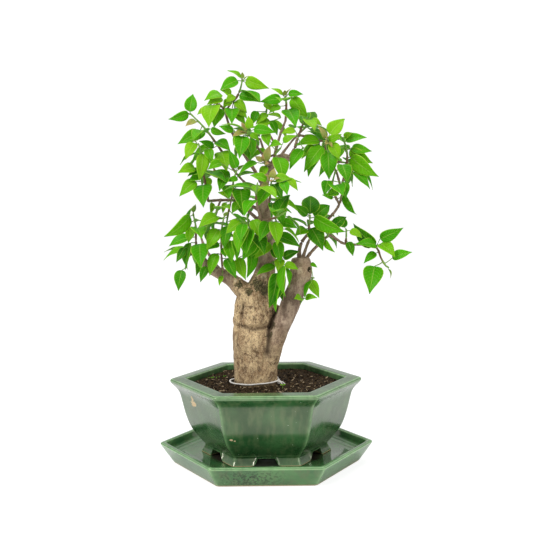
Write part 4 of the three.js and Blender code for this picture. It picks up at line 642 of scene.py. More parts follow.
def bark_look():
    """Bark: tan on the trunk, greyer on the limbs, with moss, scars, painted shade in its grooves, crotches
    and hole, and soil at its foot.
    """
    look = Look("bark", specular_ior_level=0.2)
    dark, pale = look.value("dark"), look.value("pale")
    wide = look.noise(15, 5, 0.65, 1.3, 0.5)
    blotch = look.noise(6, 6, 0.7, 1.25, 0.8)
    fine = look.noise(2.4, 5, 0.7, 1.5, 0.6)
    grit = look.noise(1.3, 4, 0.75)
    tan = look.blend(wide, 0.38, 0.62, (0.33, 0.21, 0.11), (0.68, 0.50, 0.28))
    tan = look.stain(tan, (0.13, 0.075, 0.04), blotch, 0.5, 0.62, 0.85)
    tan = look.stain(tan, (0.115, 0.068, 0.035), fine, 0.5, 0.68, 0.75)
    tan = look.stain(tan, (0.74, 0.60, 0.38), fine, 0.44, 0.3, 0.6)
    tan = look.stain(tan, (0.09, 0.052, 0.027), grit, 0.54, 0.64, 0.7)
    tan = look.stain(tan, (0.82, 0.67, 0.43), grit, 0.46, 0.36, 0.6)
    grey = look.blend(look.noise(8, 5, 0.65, 2), 0.38, 0.64, (0.20, 0.135, 0.095), (0.46, 0.345, 0.245))
    grey = look.stain(grey, (0.10, 0.062, 0.042), look.noise(2.0, 5, 0.65), 0.5, 0.7, 0.65)
    grey = look.stain(grey, (0.56, 0.45, 0.36), fine, 0.4, 0.28, 0.35)
    colour = look.mix(look.value("limb"), tan, grey)
    ragged = look.times(look.minus(look.noise(3.4, 5, 0.7), 0.5), 2.4)
    # The moss colour paints real moss and also painted shade, in the crotches and the limb's hole
    moss = look.blend(look.noise(1.8, 3), 0.42, 0.62, (0.018, 0.017, 0.009), (0.13, 0.115, 0.045))
    moss_and_shade_patch = look.step(look.plus(dark, ragged), 0.42, 0.62)
    colour = look.mix(look.times(moss_and_shade_patch, look.step(dark, 0.08, 0.3, 0, 0.92)), colour, moss)
    scar = look.step(look.plus(pale, ragged), 0.5, 0.9, 0, 0.75)
    colour = look.mix(look.times(scar, look.step(pale, 0.1, 0.4)), colour, (0.62, 0.50, 0.33))
    # Painted shade: dark brown in furrows, pits, the crease, the slot and where limb and trunk meet
    colour = look.mix(look.times(look.value("groove"), 0.9), colour, (0.045, 0.028, 0.015))
    soiled = look.times(look.value("soiled"), look.step(look.noise(6, 4), 0.3, 0.62, 0.4, 1))
    colour = look.mix(soiled, colour, (0.06, 0.038, 0.022))
    normal = look.bump(look.plus(look.times(fine, -1.0), look.times(wide, 0.6)), 2.2)
    normal = look.bump(look.noise(1.1, 3, 0.6, 2.2), 0.5, 0.9, normal)
    return look.finish(base_color=colour, roughness=look.step(fine, 0.2, 0.8, 0.76, 0.96), normal=normal)


def twig_look():
    """Stems: green where they are young, then reddish, then purple-brown wood."""
    look = Look("twig", specular_ior_level=0.35)
    wood = look.value("wood")
    fine = look.noise(1.3, 4, 0.6, 1.4)
    green = look.mix(look.noise(4, 2), (0.10, 0.26, 0.035), (0.22, 0.36, 0.06))
    red = look.mix(look.noise(3, 2), (0.20, 0.10, 0.045), (0.12, 0.07, 0.035))
    brown = look.blend(fine, 0.35, 0.68, (0.12, 0.072, 0.045), (0.31, 0.215, 0.135))
    colour = look.stain(look.blend(wood, 0.25, 0.5, green, red), brown, wood, 0.55, 0.8)
    return look.finish(base_color=colour, roughness=look.step(fine, 0.2, 0.8, 0.5, 0.8),
                       normal=look.bump(fine, 0.35, 0.7))


def leaf_look():
    """A leaf: veins and a pale rim by where a point lies across and along the blade."""
    look = Look("leaf", specular_ior_level=0.12)
    along, tone, under = look.value("along"), look.value("tone"), look.value("under")
    aside = look.math("ABSOLUTE", look.value("across"))
    midrib = look.step(aside, 0.075, 0.02)
    slant = look.minus(look.times(along, 8.5), look.times(aside, 2.1))
    saw = look.math("ABSOLUTE", look.minus(look.math("FRACT", slant), 0.5))
    veins = look.times(look.step(saw, 0.09, 0.02), look.step(aside, 0.97, 0.75))
    grain = look.noise(1.6, 3, 0.6)
    colour = look.blend(tone, 0.0, 0.5, (0.002, 0.105, 0.0003), (0.08, 0.44, 0.0012))
    colour = look.stain(colour, (0.30, 0.62, 0.012), tone, 0.5, 1.0)
    colour = look.stain(colour, (0.15, 0.50, 0.005), look.noise(14, 3, 0.5), 0.35, 0.7, 0.35)
    colour = look.stain(colour, (0.01, 0.17, 0.001), grain, 0.4, 0.75, 0.2)
    pale = look.mix(0.55, colour, (0.56, 0.78, 0.14))
    colour = look.mix(look.times(veins, 0.42), colour, pale)
    colour = look.mix(look.times(midrib, 0.8), colour, pale)
    colour = look.mix(look.times(look.step(aside, 0.88, 0.99), 0.85), colour, (0.60, 0.82, 0.08))
    colour = look.mix(look.times(under, 0.55), colour, (0.24, 0.45, 0.12))
    bronze = look.blend(along, 0.1, 0.9, (0.42, 0.40, 0.10), (0.58, 0.33, 0.17))
    bronze = look.stain(bronze, (0.62, 0.44, 0.30), grain, 0.45, 0.7, 0.5)
    colour = look.mix(look.value("bronze"), colour, bronze)
    ribs = look.most(midrib, look.times(veins, 0.6))
    relief = look.times(look.times(ribs, -1.0), look.minus(1.0, look.times(under, 2.0)))
    normal = look.bump(look.plus(relief, look.times(grain, 0.35)), 0.35, 0.6)
    roughness = look.plus(look.step(grain, 0.3, 0.7, 0.3, 0.44), look.times(under, 0.25))
    look.finish(base_color=colour, roughness=roughness, normal=normal)
    light = look.mix(0.35, colour, (0.36, 0.80, 0.002))
    return look.shared(look.node("BsdfTranslucent", 0, {"Color": light, "Normal": normal}), 0.38)


def soil_look():
    look = Look("soil", specular_ior_level=0.1)
    clumps = look.noise(5, 5, 0.65)
    fine = look.noise(1.2, 4, 0.6)
    colour = look.blend(clumps, 0.4, 0.66, (0.005, 0.003, 0.0015), (0.05, 0.031, 0.014))
    colour = look.stain(colour, (0.22, 0.14, 0.07), fine, 0.55, 0.68, 0.65)
    chip = look.mix(look.noise(3, 3), (0.55, 0.43, 0.28), (0.16, 0.11, 0.06))
    colour = look.mix(look.value("crumb"), colour, chip)
    normal = look.bump(look.plus(clumps, look.times(fine, 0.5)), 1.4, 0.9)
    return look.finish(base_color=colour, roughness=look.step(fine, 0.3, 0.7, 0.85, 1.0), normal=normal)


def moss_look():
    look = Look("moss", specular_ior_level=0.3)
    fine = look.noise(1.0, 3)
    colour = look.blend(fine, 0.35, 0.65, (0.04, 0.14, 0.01), (0.2, 0.42, 0.03))
    return look.finish(base_color=colour, roughness=0.7, normal=look.bump(fine, 0.3, 0.6))


def string_look():
    look = Look("string", specular_ior_level=0.3, sheen_weight=0.3)
    fibres = look.noise(0.35, 3, 0.6, 2.5)
    colour = look.blend(fibres, 0.3, 0.7, (0.62, 0.59, 0.54), (0.92, 0.90, 0.86))
    colour = look.stain(colour, (0.34, 0.27, 0.2), look.noise(7, 3), 0.5, 0.75, 0.45)
    return look.finish(base_color=colour, roughness=0.9, normal=look.bump(fibres, 0.2, 0.8))


def screen_look():
    look = Look("screen", specular_ior_level=0.4)
    grain = look.noise(0.8, 3)
    colour = look.blend(grain, 0.3, 0.7, (0.012, 0.012, 0.012), (0.03, 0.03, 0.028))
    return look.finish(base_color=colour, roughness=look.step(grain, 0.3, 0.7, 0.45, 0.65),
                       normal=look.bump(grain, 0.1, 0.5))


def floor_look():
    look = Look("floor", specular_ior_level=0.1, roughness=0.85)
    look.finish(base_color=look.blend(look.noise(900, 2), 0.3, 0.7, (0.86, 0.86, 0.86), (0.90, 0.90, 0.90)))
    seen = look.node("LightPath", "Is Camera Ray", {})
    white = look.node("Emission", 0, {"Color": (1, 1, 1), "Strength": FLOOR_GLOW})
    return look.shared(white, look.times(seen, 0.7))


# ---------------------------------------------------------------- glazed ware


def hexagon(reach, corner, flat_points):
    """(x, y, nearness to a corner, place along the flat in mm) round a hexagon with rounded corners."""
    centre = reach - corner / math.cos(math.pi / 6)
    half = centre / 2
    points = []
    for side in range(6):
        towards = side * math.pi / 3
        middle = heading(towards) * centre
        for i in range(CORNER_POINTS):
            share = 2 * i / (CORNER_POINTS - 1) - 1
            x, y = middle + corner * heading(towards + share * math.pi / 6)
            points.append((x, y, 1 - 0.5 * abs(share), half if share > 0 else -half))
        ahead = heading(towards + math.pi / 3) * centre
        out = corner * heading(towards + math.pi / 6)
        for i in range(1, flat_points):
            share = i / flat_points
            x, y = middle + (ahead - middle) * share + out
            away = min(share, 1 - share) * 2 * half
            points.append((x, y, 0.5 * max(0, 1 - away / 3) ** 2, (2 * share - 1) * half))
    return points


def rounded(profile, reach):
    """A profile with its corners rounded over a reach. Each point is [R, z, nearness to a corner]."""
    marked = [[*profile[0], 0.0]]
    for i in range(1, len(profile) - 1):
        here = np.array(profile[i], dtype=float)
        to_before, to_after = np.array(profile[i - 1]) - here, np.array(profile[i + 1]) - here
        a, b = np.linalg.norm(to_before), np.linalg.norm(to_after)
        turn = math.acos(max(-1, min(1, -np.dot(to_before, to_after) / (a * b))))
        start = here + to_before * min(reach / a, 0.42)
        end = here + to_after * min(reach / b, 0.42)
        sharp = min(1.0, turn / 0.9)
        for t in (0, 0.25, 0.5, 0.75, 1):
            p = start * (1 - t) ** 2 + here * 2 * t * (1 - t) + end * t * t
            marked.append([p[0], p[1], sharp * (1 - 1.2 * abs(t - 0.5))])
    return marked + [[*profile[-1], 0.0]]


def turns_outwards(profile, i):
    """Whether a rounded profile turns outwards at a point, so that glaze runs thin there."""
    a, b, c = (np.array(profile[max(0, min(len(profile) - 1, i + k))][:2], dtype=float) for k in (-2, 0, 2))
    before, after = b - a, c - b
    return before[0] * after[1] - before[1] * after[0] > 0


def glazed(profile, corner, flat_points, thin_at_corners, bare, mottled, height=None, skirt=None):
    """A solid turned round a hexagon from a rounded profile, its glaze described by functions of the place.
    Glaze is thin too at the height of the skirt over the feet."""
    build = Build("thin", "bare", "mottled")
    points, thin, plain, spots = [], [], [], []
    for i, (reach, level, sharp) in enumerate(profile):
        edge = sharp * turns_outwards(profile, i)
        if skirt and reach > FOOT_INSIDE + 12:
            edge = max(edge, 0.8 * math.exp(-((level - skirt) ** 2)))
        for x, y, corner_share, along in hexagon(reach, corner, flat_points):
            z = height(reach, level, along) if height else level
            points.append((x, y, z))
            thin.append(min(1.0, max(edge, thin_at_corners(reach, level) * corner_share)))
            plain.append(bare(reach, z))
            spots.append(mottled(x, y, z))
    rings = len(profile)
    build.add(points, band_faces(rings, len(points) // rings), thin=thin, bare=plain, mottled=spots)
    return build


def make_saucer(look):
    def corners(reach, z):
        """Thin glaze on the corners of the outer side."""
        return 0.75 if reach > 124 and z > 1 else 0.0

    def bare(reach, z):
        """Bare clay underneath, and less so along the lower edge."""
        return 1.0 if z < 0.9 else 0.75 * (z < 2 and reach > 120)

    def mottled(x, y, z):
        """Dark mottles in the middle of the front."""
        return math.exp(-(((x + 22) / 38) ** 4) - ((z - 12) / 12) ** 4) if y < -90 else 0.0

    profile = rounded(SAUCER_PROFILE, EDGE["saucer"])
    build = glazed(profile, SAUCER_CORNER, SAUCER_FLAT_POINTS, corners, bare, mottled)
    place("saucer_glazed", build, [look], "saucer_glaze", ["saucer"])


def foot_roof(along):
    """Height of the foot ring's underside at a place along a flat: feet at the corners, a gap between."""
    top, bottom, roof = FOOT_GAP["top"], FOOT_GAP["bottom"], FOOT_GAP["roof"]
    under = FOOT_BOTTOM - 1
    away = abs(along)
    if away <= top:
        return roof
    if away >= bottom:
        return FOOT_BOTTOM
    steps = [i / 20 for i in range(21)]
    ways = [bottom * (1 - u) ** 2 + 2 * u * (1 - u) * (bottom - 7) + u * u * top for u in steps]
    heights = [under * (1 - u) ** 2 + 2 * u * (1 - u) * (under + 2) + u * u * roof for u in steps]
    return max(FOOT_BOTTOM, float(np.interp(away, ways[::-1], heights[::-1])))


def pot_profile():
    """The pot's rounded profile: foot ring from inside to outside, body, rim and inside."""
    inside = [[FOOT_INSIDE - 2, POT_FLOOR_UNDER], [FOOT_INSIDE, FOOT_BOTTOM]]
    foot = rounded([*inside, *FOOT_OUTSIDE, [87.4, 30]], EDGE["foot"])[:-1]
    curve = [np.array([r, z, 0.0]) for r, z in POT_BODY]
    body = [[*curve_point(curve, i / 30)[:2], 0.0] for i in range(1, 30)]
    rim = rounded([body[-1][:2], *POT_RIM, *POT_INSIDE[1:], [60, POT_FLOOR]], EDGE["pot"])[1:]
    return foot + body + rim


def make_pot(look):
    def height(reach, z, along):
        """Squeezes the foot ring's wall up to the roof of the gaps between the feet."""
        if z >= FOOT_TOP or reach > 92:
            return z
        share = (z - FOOT_BOTTOM) / (FOOT_TOP - FOOT_BOTTOM)
        return foot_roof(along) + share * (FOOT_TOP - foot_roof(along))

    def corners(reach, z):
        """Thin glaze on the corners of body and feet."""
        return 0.62 if reach > 80 and FOOT_BOTTOM + 1 < z < 114 else 0.0

    def bare(reach, z):
        """Bare clay where the feet stand."""
        return 1.0 if z < FOOT_BOTTOM + 0.9 else 0.0

    def mottled(x, y, z):
        """Slight mottles on the lower half."""
        return 0.25 if z < 60 else 0.0

    skirt = FOOT_TOP + 0.8
    build = glazed(pot_profile(), POT_CORNER, POT_FLAT_POINTS, corners, bare, mottled, height, skirt)
    pot = place("pot_glazed", build, [look], "pot_glaze", ["pot"])
    cut_drain_holes(pot)
    pot.data.set_sharp_from_angle(angle=math.radians(SHARP_EDGE))


def cut_drain_holes(pot):
    build = Build()
    for side in (-1, 1):
        foot = np.array([side * DRAIN_HOLE["x"], 0.0, POT_FLOOR_UNDER - 2.0])
        add_tube(build, [(foot + UP * rise, UP, DRAIN_HOLE["radius"]) for rise in (0, 12)], 32)
    cutter = linked("cutter", build.mesh("cutter"))
    bore = pot.modifiers.new("drain", "BOOLEAN")
    bore.operation, bore.solver, bore.object = "DIFFERENCE", "EXACT", cutter
    apply_modifiers(pot)
    bpy.data.objects.remove(cutter)


# ---------------------------------------------------------------- soil


def pot_inside_at(z):
    return float(np.interp(z, [p[1] for p in POT_INSIDE][::-1], [p[0] for p in POT_INSIDE][::-1]))


def soil_height(x, y):
    away = math.hypot(x - SOIL_MOUND["x"], y)
    mound = SOIL_MOUND["height"] * math.exp(-((away / SOIL_MOUND["spread"]) ** 2))
    clods = 0.5 * math.sin(0.55 * x + 1.3) * math.cos(0.62 * y)
    lumps = 0.55 * wobble((x, y, 0), 7, 3.1) + 0.4 * wobble((x, y, 0), 2.6, 7.7)
    return SOIL_LEVEL + mound + clods + lumps


def hexagon_edge(reach, angle):
    """The point at an angle on the hexagon that fills the pot."""
    off = math.pi / 6 - abs((angle + math.pi / 6) % (math.pi / 3) - math.pi / 6)
    return min(reach * math.cos(math.pi / 6) / math.cos(off), reach - POT_CORNER * 0.3) * heading(angle)


def crumb_shape():
    """The corners and faces of a rough grain, an icosahedron."""
    t = (1 + math.sqrt(5)) / 2
    points = [(-1, t, 0), (1, t, 0), (-1, -t, 0), (1, -t, 0), (0, -1, t), (0, 1, t), (0, -1, -t),
              (0, 1, -t), (t, 0, -1), (t, 0, 1), (-t, 0, -1), (-t, 0, 1)]
    faces = [(0, 11, 5), (0, 5, 1), (0, 1, 7), (0, 7, 10), (0, 10, 11), (1, 5, 9), (5, 11, 4), (11, 10, 2),
             (10, 7, 6), (7, 1, 8), (3, 9, 4), (3, 4, 2), (3, 2, 6), (3, 6, 8), (3, 8, 9), (4, 9, 5),
             (2, 4, 11), (6, 2, 10), (8, 6, 7), (9, 8, 1)]
    return [unit(np.array(p, dtype=float)) for p in points], faces


def add_crumbs(build):
    """Crumbs of soil and, some of them, pale chips, strewn outside the trunk."""
    dice = random.Random(4)
    shape, faces = crumb_shape()
    trunk = TRUNK_AT_SOIL
    placed = 0
    while placed < CRUMBS:
        angle, share = dice.random() * 2 * math.pi, math.sqrt(dice.random())
        x, y = hexagon_edge(pot_inside_at(SOIL_LEVEL) - 3, angle) * share
        if math.hypot((x - trunk["x"]) / trunk["halfWidth"], y / trunk["halfDepth"]) < 1:
            continue
        size = 0.5 + 1.5 * dice.random() ** 2.5
        light = dice.random()
        axis = unit(np.array([dice.gauss(0, 1) for _ in range(3)]))
        turn = dice.random() * 6.28
        stretch = np.array([1, 0.6 + 0.5 * dice.random(), 0.45 + 0.4 * dice.random()])
        if light > CHIP_ABOVE:
            size, stretch = 1.0 + 1.5 * dice.random(), np.array([1.6, 0.5, 0.22])
        at = np.array([x, y, soil_height(x, y) + 0.25 * size])
        cloud = [at + turned(p * stretch * size * (0.8 + 0.4 * dice.random()), axis, turn) for p in shape]
        build.add(cloud, faces, crumb=(light - 0.55) * 2.2 if light > PALE_ABOVE else 0.0)
        placed += 1


def make_soil(look):
    """Soil from the trunk to the pot's wall and down to its floor, with crumbs on it."""
    build = Build("crumb")
    angles = [2 * math.pi * i / SOIL_SIDES for i in range(SOIL_SIDES)]
    section = trunk_section(SOIL_LEVEL + 1)
    inner = [bark_point(section, math.degrees(a), -2.0)[:2] for a in angles]
    outer = [hexagon_edge(pot_inside_at(SOIL_LEVEL + 2) - SOIL_CLEAR + GAP, a) for a in angles]
    points = [(*p, z) for z in (75, SOIL_LEVEL - 3) for p in inner]
    for r in range(SOIL_RINGS + 1):
        for a, b in zip(inner, outer):
            x, y = a + (b - a) * r / SOIL_RINGS
            points.append((x, y, soil_height(x, y)))
    for reach, z in POT_INSIDE[1:]:
        points += [(*hexagon_edge(reach - SOIL_CLEAR, a), max(z, SOIL_BOTTOM)) for a in angles]
    build.add(points, band_faces(len(points) // SOIL_SIDES, SOIL_SIDES))
    add_crumbs(build)
    place("soil_crumbly", build, [look], "soil", ["soil"])


# ---------------------------------------------------------------- trunk


def lumps_at(lumps, degrees, z):
    relief = 0.0
    for angle, height, spread, rise, out in lumps:
        turn = (degrees - angle + 540) % 360 - 180
        relief += out * math.exp(-((turn / spread) ** 2) - ((z - height) / rise) ** 2)
    return relief


def bark_point(section, degrees, outside=0.0):
    """The point of the trunk's surface at an angle round a section, or one so far outside it."""
    z, x, y, width, depth = section
    angle = math.radians(degrees)
    out = lumps_at(TRUNK_LUMPS, degrees, z)
    for waves, phase, height in TRUNK_FLUTES:
        out += height * math.sin(waves * angle + phase + z / 40)
    out += outside
    return np.array([x + (width + out) * math.cos(angle), y + (depth + out) * math.sin(angle), z])


def trunk_section(z):
    heights = [s[0] for s in TRUNK_SECTIONS]
    return [float(np.interp(z, heights, [s[k] for s in TRUNK_SECTIONS])) for k in range(5)]


def axis_points(routes, steps):
    """Points on the middle lines of routes, and the radius at each."""
    places = [p for route in routes for p in smooth_route(route, steps)]
    return np.array([at for at, _, _ in places]), np.array([radius for _, _, radius in places])


def thick_wood():
    """The trunk and its limbs as one closed surface."""
    build = Build()
    points = []
    for z in [TRUNK_FOOT + LEVEL_STEP * i for i in range(TRUNK_LEVELS)]:
        section = trunk_section(z)
        for degrees in [360 / TRUNK_SIDES * k for k in range(TRUNK_SIDES)]:
            points.append(bark_point(section, degrees, lumps_at(BARK_LUMPS, degrees, section[0])))
    build.add(points, band_faces(TRUNK_LEVELS, TRUNK_SIDES))
    for route in LIMBS.values():
        add_tube(build, smooth_route(route, 6), 32)
    add_tube(build, smooth_route(WEB, 6), 16)
    piece = linked("thick_wood", build.mesh("thick_wood"))
    remesh = piece.modifiers.new("join", "REMESH")
    remesh.mode, remesh.voxel_size, remesh.use_smooth_shade = "VOXEL", VOXEL * MM, True
    soften = piece.modifiers.new("soften", "SMOOTH")
    soften.factor, soften.iterations = 0.5, 5
    apply_modifiers(piece)
    return piece


def vectors_of(elements, name):
    """The vectors of a mesh's points, as rows."""
    flat = np.empty(len(elements) * 3)
    elements.foreach_get(name, flat)
    return flat.reshape(-1, 3)


def ramp(value, start, length):
    """From 0 to 1 as a value goes from a start over a length, which is negative downwards."""
    return np.clip((value - start) / length, 0, 1)


def hump(value, middle, spread, power=2):
    """1 where a value is in the middle, falling to 0 outside its spread."""
    return np.exp(-(((value - middle) / spread) ** power))


def spot(at, x, y, z, size):
    """1 at a point, falling to 0 outside its size."""
    return hump(np.linalg.norm(at - np.array([x, y, z]), axis=1), 0, size)


def roughen(at, rough, burl, stump):
    """How far the bark stands out at each point by its ridges and knobs, and how much painted shade its
    grooves and pits get.
    """
    shift, groove = np.zeros(len(at)), np.zeros(len(at))
    for i, p in enumerate(at):
        ridges = wobble((p[0], p[1], p[2] / 3.2), 4.6, 1.3)
        swirl = wobble((p[0], p[1], p[2] * 2.2), 9, 5.5)
        knobs = wobble(p, 6.5, 4.4)
        pits = wobble(p, 2.6, 8.2)
        shift[i] = rough[i] * (0.9 * ridges + 0.5 * swirl) + (0.4 + 1.3 * stump[i]) * knobs
        shift[i] += burl[i] * (1.3 * knobs + 1.1 * pits)
        groove[i] = max(0.0, -ridges - 0.3) * 1.5 * rough[i] + burl[i] * max(0.0, -pits - 0.22) * 1.6
    return shift, groove


def bark_details(at):
    """How far each point of the wood moves out, and the values that colour it there."""
    x, z = at[:, 0], at[:, 2]
    axis, radius = axis_points([LIMBS["right_limb"]], 8)
    to_limb = (np.linalg.norm(at[:, None, :] - axis[None], axis=2) - radius).min(axis=1)
    middle = np.interp(z, [s[0] for s in TRUNK_SECTIONS], [s[1] for s in TRUNK_SECTIONS])
    from_middle = np.hypot(x - middle, at[:, 1])
    hole = np.linalg.norm(at - np.array(LIMB_HOLE["at"]) + 2 * unit(vec(LIMB_HOLE["into"])), axis=1)
    degrees = np.degrees(np.arctan2(at[:, 1], x + 14))

    stump = spot(at, *STUMP)
    limb = np.clip(1 - (to_limb - 0.5) / 3.5, 0, 1) * ramp(z, *RIGHT_LIMB_GREY)
    limb = np.maximum(limb, ramp(z, *LEADER_GREY) * 0.8) * (1 - 0.6 * stump)
    limb = np.maximum(limb, ramp(x, *LEFT_LIMB_GREY) * 0.8)
    burl = hump(z, *BURL) * (1 - limb)

    shift, groove = roughen(at, np.clip(1 - limb, 0.25, 1), burl, stump)
    shift *= 1 - 0.6 * hump(z, *BY_STRING)
    dark, pale = np.zeros(len(at)), np.zeros(len(at))
    for *point, size in SCARS:
        shift += 0.9 * spot(at, *point, size) - 0.8 * spot(at, *point, 0.35 * size)
        pale = np.maximum(pale, spot(at, *point, size))
    for *point, size in DARK_PATCHES:
        dark = np.maximum(dark, spot(at, *point, size))
    # Painted shade inside the limb's hole
    dark = np.maximum(dark, hump(hole, 0, 4, 4) * 1.4)
    pale = np.maximum(pale, np.maximum(0.4 * burl, 0.45 * stump))
    shift -= 5.5 * hump(hole, 0, 3.6, 4)
    shift *= ramp(z, *ABOVE_FOOT)

    # Painted shade along the crease, the upright slot and the line where limb and trunk meet
    crease_z = CREASE["z"] + CREASE["rise"] * ((degrees - CREASE["lowest"]) / CREASE["half"]) ** 2
    crease = np.clip(1.4 - np.abs(degrees - CREASE["middle"]) / CREASE["reach"], 0, 1)
    crease = crease * hump(z, crease_z, CREASE["width"])
    slot = hump(degrees, *SLOT["angle"]) * hump(z, *SLOT["z"])
    meeting = hump(to_limb, *MEETING["offLimb"]) * hump(from_middle, *MEETING["offMiddle"])
    meeting = meeting * ramp(z, *MEETING["from"]) * ramp(z, *MEETING["to"])
    groove = np.clip(groove + 0.8 * crease + 1.8 * slot + 1.1 * meeting, 0, 1)
    soiled = ramp(z, *SOILED) * 0.8
    return shift, {"limb": limb, "groove": groove, "dark": dark, "pale": pale, "soiled": soiled}


def make_trunk(bark, twig):
    """Trunk and limbs with rough bark, and the thin branches."""
    piece = thick_wood()
    at = vectors_of(piece.data.vertices, "co") * 1000
    normals = vectors_of(piece.data.vertex_normals, "vector")
    shift, values = bark_details(at)
    build = Build("limb", "groove", "dark", "pale", "soiled", "wood")
    moved = (at + normals * shift[:, None]) * MM
    build.add(moved * 1000, [tuple(face.vertices) for face in piece.data.polygons], **values)
    for route in BRANCHES.values():
        add_branch(build, route)
    bpy.data.objects.remove(piece)
    place("trunk_bark", build, [bark, twig], "bark", ["trunk"])


def add_branch(build, route):
    """A thin woody branch with small knots."""
    knotty = []
    for i, (at, along, radius) in enumerate(smooth_route(route, 8)):
        swell = 1 + 0.16 * wobble(at, 5, 2.2) + (0.22 if i % 7 == 3 else 0)
        knotty.append((at, along, THIN_WOOD * radius * swell))
    end_at, end_along, end_radius = knotty[-1]
    knotty.append((end_at + end_along * 0.8, end_along, end_radius * 0.5))
    add_tube(build, knotty, 10, 1, wood=1.0)


# ---------------------------------------------------------------- string


def tie_point(degrees):
    z = TIE["z"] + TIE["tilt"] * math.cos(math.radians(degrees))
    slack = TIE["loose"] * max(0, math.cos(math.radians(degrees - TIE["looseAt"]))) ** 3
    fine = max(0.0, lumps_at(BARK_LUMPS, degrees, z))
    return bark_point(trunk_section(z), degrees, TIE["radius"] + TIE["clear"] + slack + fine)


def add_twine(build, points, radius, turns):
    """Two strands twisted round each other along a row of points."""
    last = len(points) - 1
    for strand in (0, math.pi):
        places = []
        for i, point in enumerate(points):
            along = unit(points[min(i + 1, last)] - points[max(i - 1, 0)])
            side, up = frame_along(along, UP)
            angle = strand + 2 * math.pi * turns * i / last
            off = (side * math.cos(angle) + up * math.sin(angle)) * radius * 0.5
            places.append((point + off, along, radius * 0.56))
        add_tube(build, places, 7)


def knot_points(middle):
    """A small tangle round a middle."""
    points = []
    for a in [2 * math.pi * i / 60 for i in range(61)]:
        wave = [math.sin(2 * a) * 1.5, 0.7 * math.sin(3 * a), 1.5 * math.cos(3 * a) * 0.8 + math.cos(a)]
        points.append(middle + np.array(wave) * 1.15)
    return points


def make_tie(look):
    """The string round the trunk's foot, its knot and its two frayed ends."""
    build = Build()
    add_twine(build, [tie_point(KNOT["angle"] + 360 * i / 260) for i in range(261)], TIE["radius"], 62)
    out = np.array([*heading(math.radians(KNOT["angle"])), 0])
    middle = tie_point(KNOT["angle"]) + out * KNOT["out"] - UP * KNOT["down"]
    add_twine(build, knot_points(middle), TIE["radius"] * 0.85, 10)
    dice = random.Random(9)
    for end in [vec(end) for end in KNOT["ends"]]:
        path = [middle + end * t + UP * (0.9 * math.sin(math.pi * t)) for t in np.linspace(0, 0.8, 14)]
        add_twine(build, path, TIE["radius"] * 0.8, 2.5)
        for _ in range(9):
            spread = np.array([dice.uniform(-1, 1) for _ in range(3)]) * np.array([1.8, 1.8, 0.9])
            start, tip = path[-2], middle + end * dice.uniform(0.95, 1.1) + spread
            bend = (start + tip) / 2 + UP * dice.uniform(-0.3, 0.6)
            add_tube(build, bent_hair([start, bend, tip], [0.22, 0.2, 0.1], 4), 5)
    place("tie_string", build, [look], "string", ["tie"])


# ---------------------------------------------------------------- where leaves stand, as in the CAD source


def stem_route(shoot, axis, radii):
    """[x, y, z, radius] points of a stem, from the middle of the wood to its end."""
    first = vec(shoot.route[0])
    nearest = np.argmin(np.linalg.norm(axis - first, axis=1) - radii)
    start, bare = axis[nearest], radii[nearest] + STEM["bare"]
    free = shoot.route if np.linalg.norm(start - first) > STEM["apart"] else shoot.route[1:]
    points = [start, *[vec(p) for p in free]]
    last = len(points) - 1
    route = [[*p, STEM["base"] + (STEM["tip"] - STEM["base"]) * i / last] for i, p in enumerate(points)]
    return route, bare


def root_in_front(places, bare, x, z):
    """The point of a stem nearest to a place in the front view, off the foot that the wood holds."""
    free = []
    for (a, _, _), (b, _, _) in zip(places, places[1:]):
        points = [a + (b - a) * share for share in (0, 0.25, 0.5, 0.75, 1)]
        free += [point for point in points if np.linalg.norm(point - places[0][0]) >= bare]
    return min(free, key=lambda point: math.hypot(point[0] - x, point[2] - z))


def front_leaf(places, bare, numbers, seed, attempt):
    rule = FRONT_LEAF
    base_x, base_z, tip_x, tip_z, width = numbers
    root = root_in_front(places, bare, base_x, base_z)
    shown = math.hypot(tip_x - base_x, tip_z - base_z)
    blade_width = max(width, LEAF["slim"] * shown)
    length = max(shown, LEAF["long"] * blade_width)
    forward = math.sqrt(length * length - shown * shown) + rule["lean"] * shown
    rising = tip_z - base_z > rule["rising"] * shown
    step = math.ceil(attempt / 2) * (1 if attempt % 2 else -1)
    base = np.array([base_x, root[1] - rule["nearer"] + rule["baseTry"] * step, base_z])
    tip_y = base[1] + (forward if rising else -forward) + rule["tipTry"] * step
    tip = np.array([tip_x, tip_y, tip_z])
    away = np.linalg.norm(base - root)
    outward = unit(np.array([tip_x - base_x, -rule["petiole"], tip_z - base_z]))
    if away < rule["petiole"]:
        base = base + outward * (rule["petiole"] - away)
    roll = math.acos(width / blade_width) * (-1 if draw(seed) < 0.5 else 1)
    along = unit(tip - base)
    up = turned(FACING, along, roll + rule["rollDraw"] * (draw(seed + 1) - 0.5))
    return root, base, tip, blade_width, up


def ruled_leaf(places, number, count, seed, attempt):
    rule = RULED_LEAF
    place_on = (rule["first"] + (rule["last"] - rule["first"]) * (number + 0.5) / count) * (len(places) - 1)
    start = int(place_on)
    root = places[start][0] + (places[start + 1][0] - places[start][0]) * (place_on - start)
    along = places[start][1]
    turn = GOLDEN_ANGLE * (number + 1) + rule["turnDraw"] * draw(seed) + rule["turnTry"] * attempt
    outward = sideways(along, math.radians(turn))
    length = rule["length"] + rule["lengthDraw"] * draw(seed + 2) - rule["shorter"] * (number / count)
    droop = rule["droop"] + rule["droopDraw"] * draw(seed + 3) + rule["droopTry"] * attempt
    leaving = unit(outward + along * rule["petioleAhead"])
    reach = unit(outward + along * rule["ahead"] - UP * droop)
    base = root + leaving * (rule["petiole"] + rule["petioleDraw"] * draw(seed + 4))
    up = UP + outward * rule["upOutward"] + along * rule["upAhead"]
    width = length * (rule["width"] + rule["widthDraw"] * draw(seed + 5))
    return root, base, base + reach * length, width, up


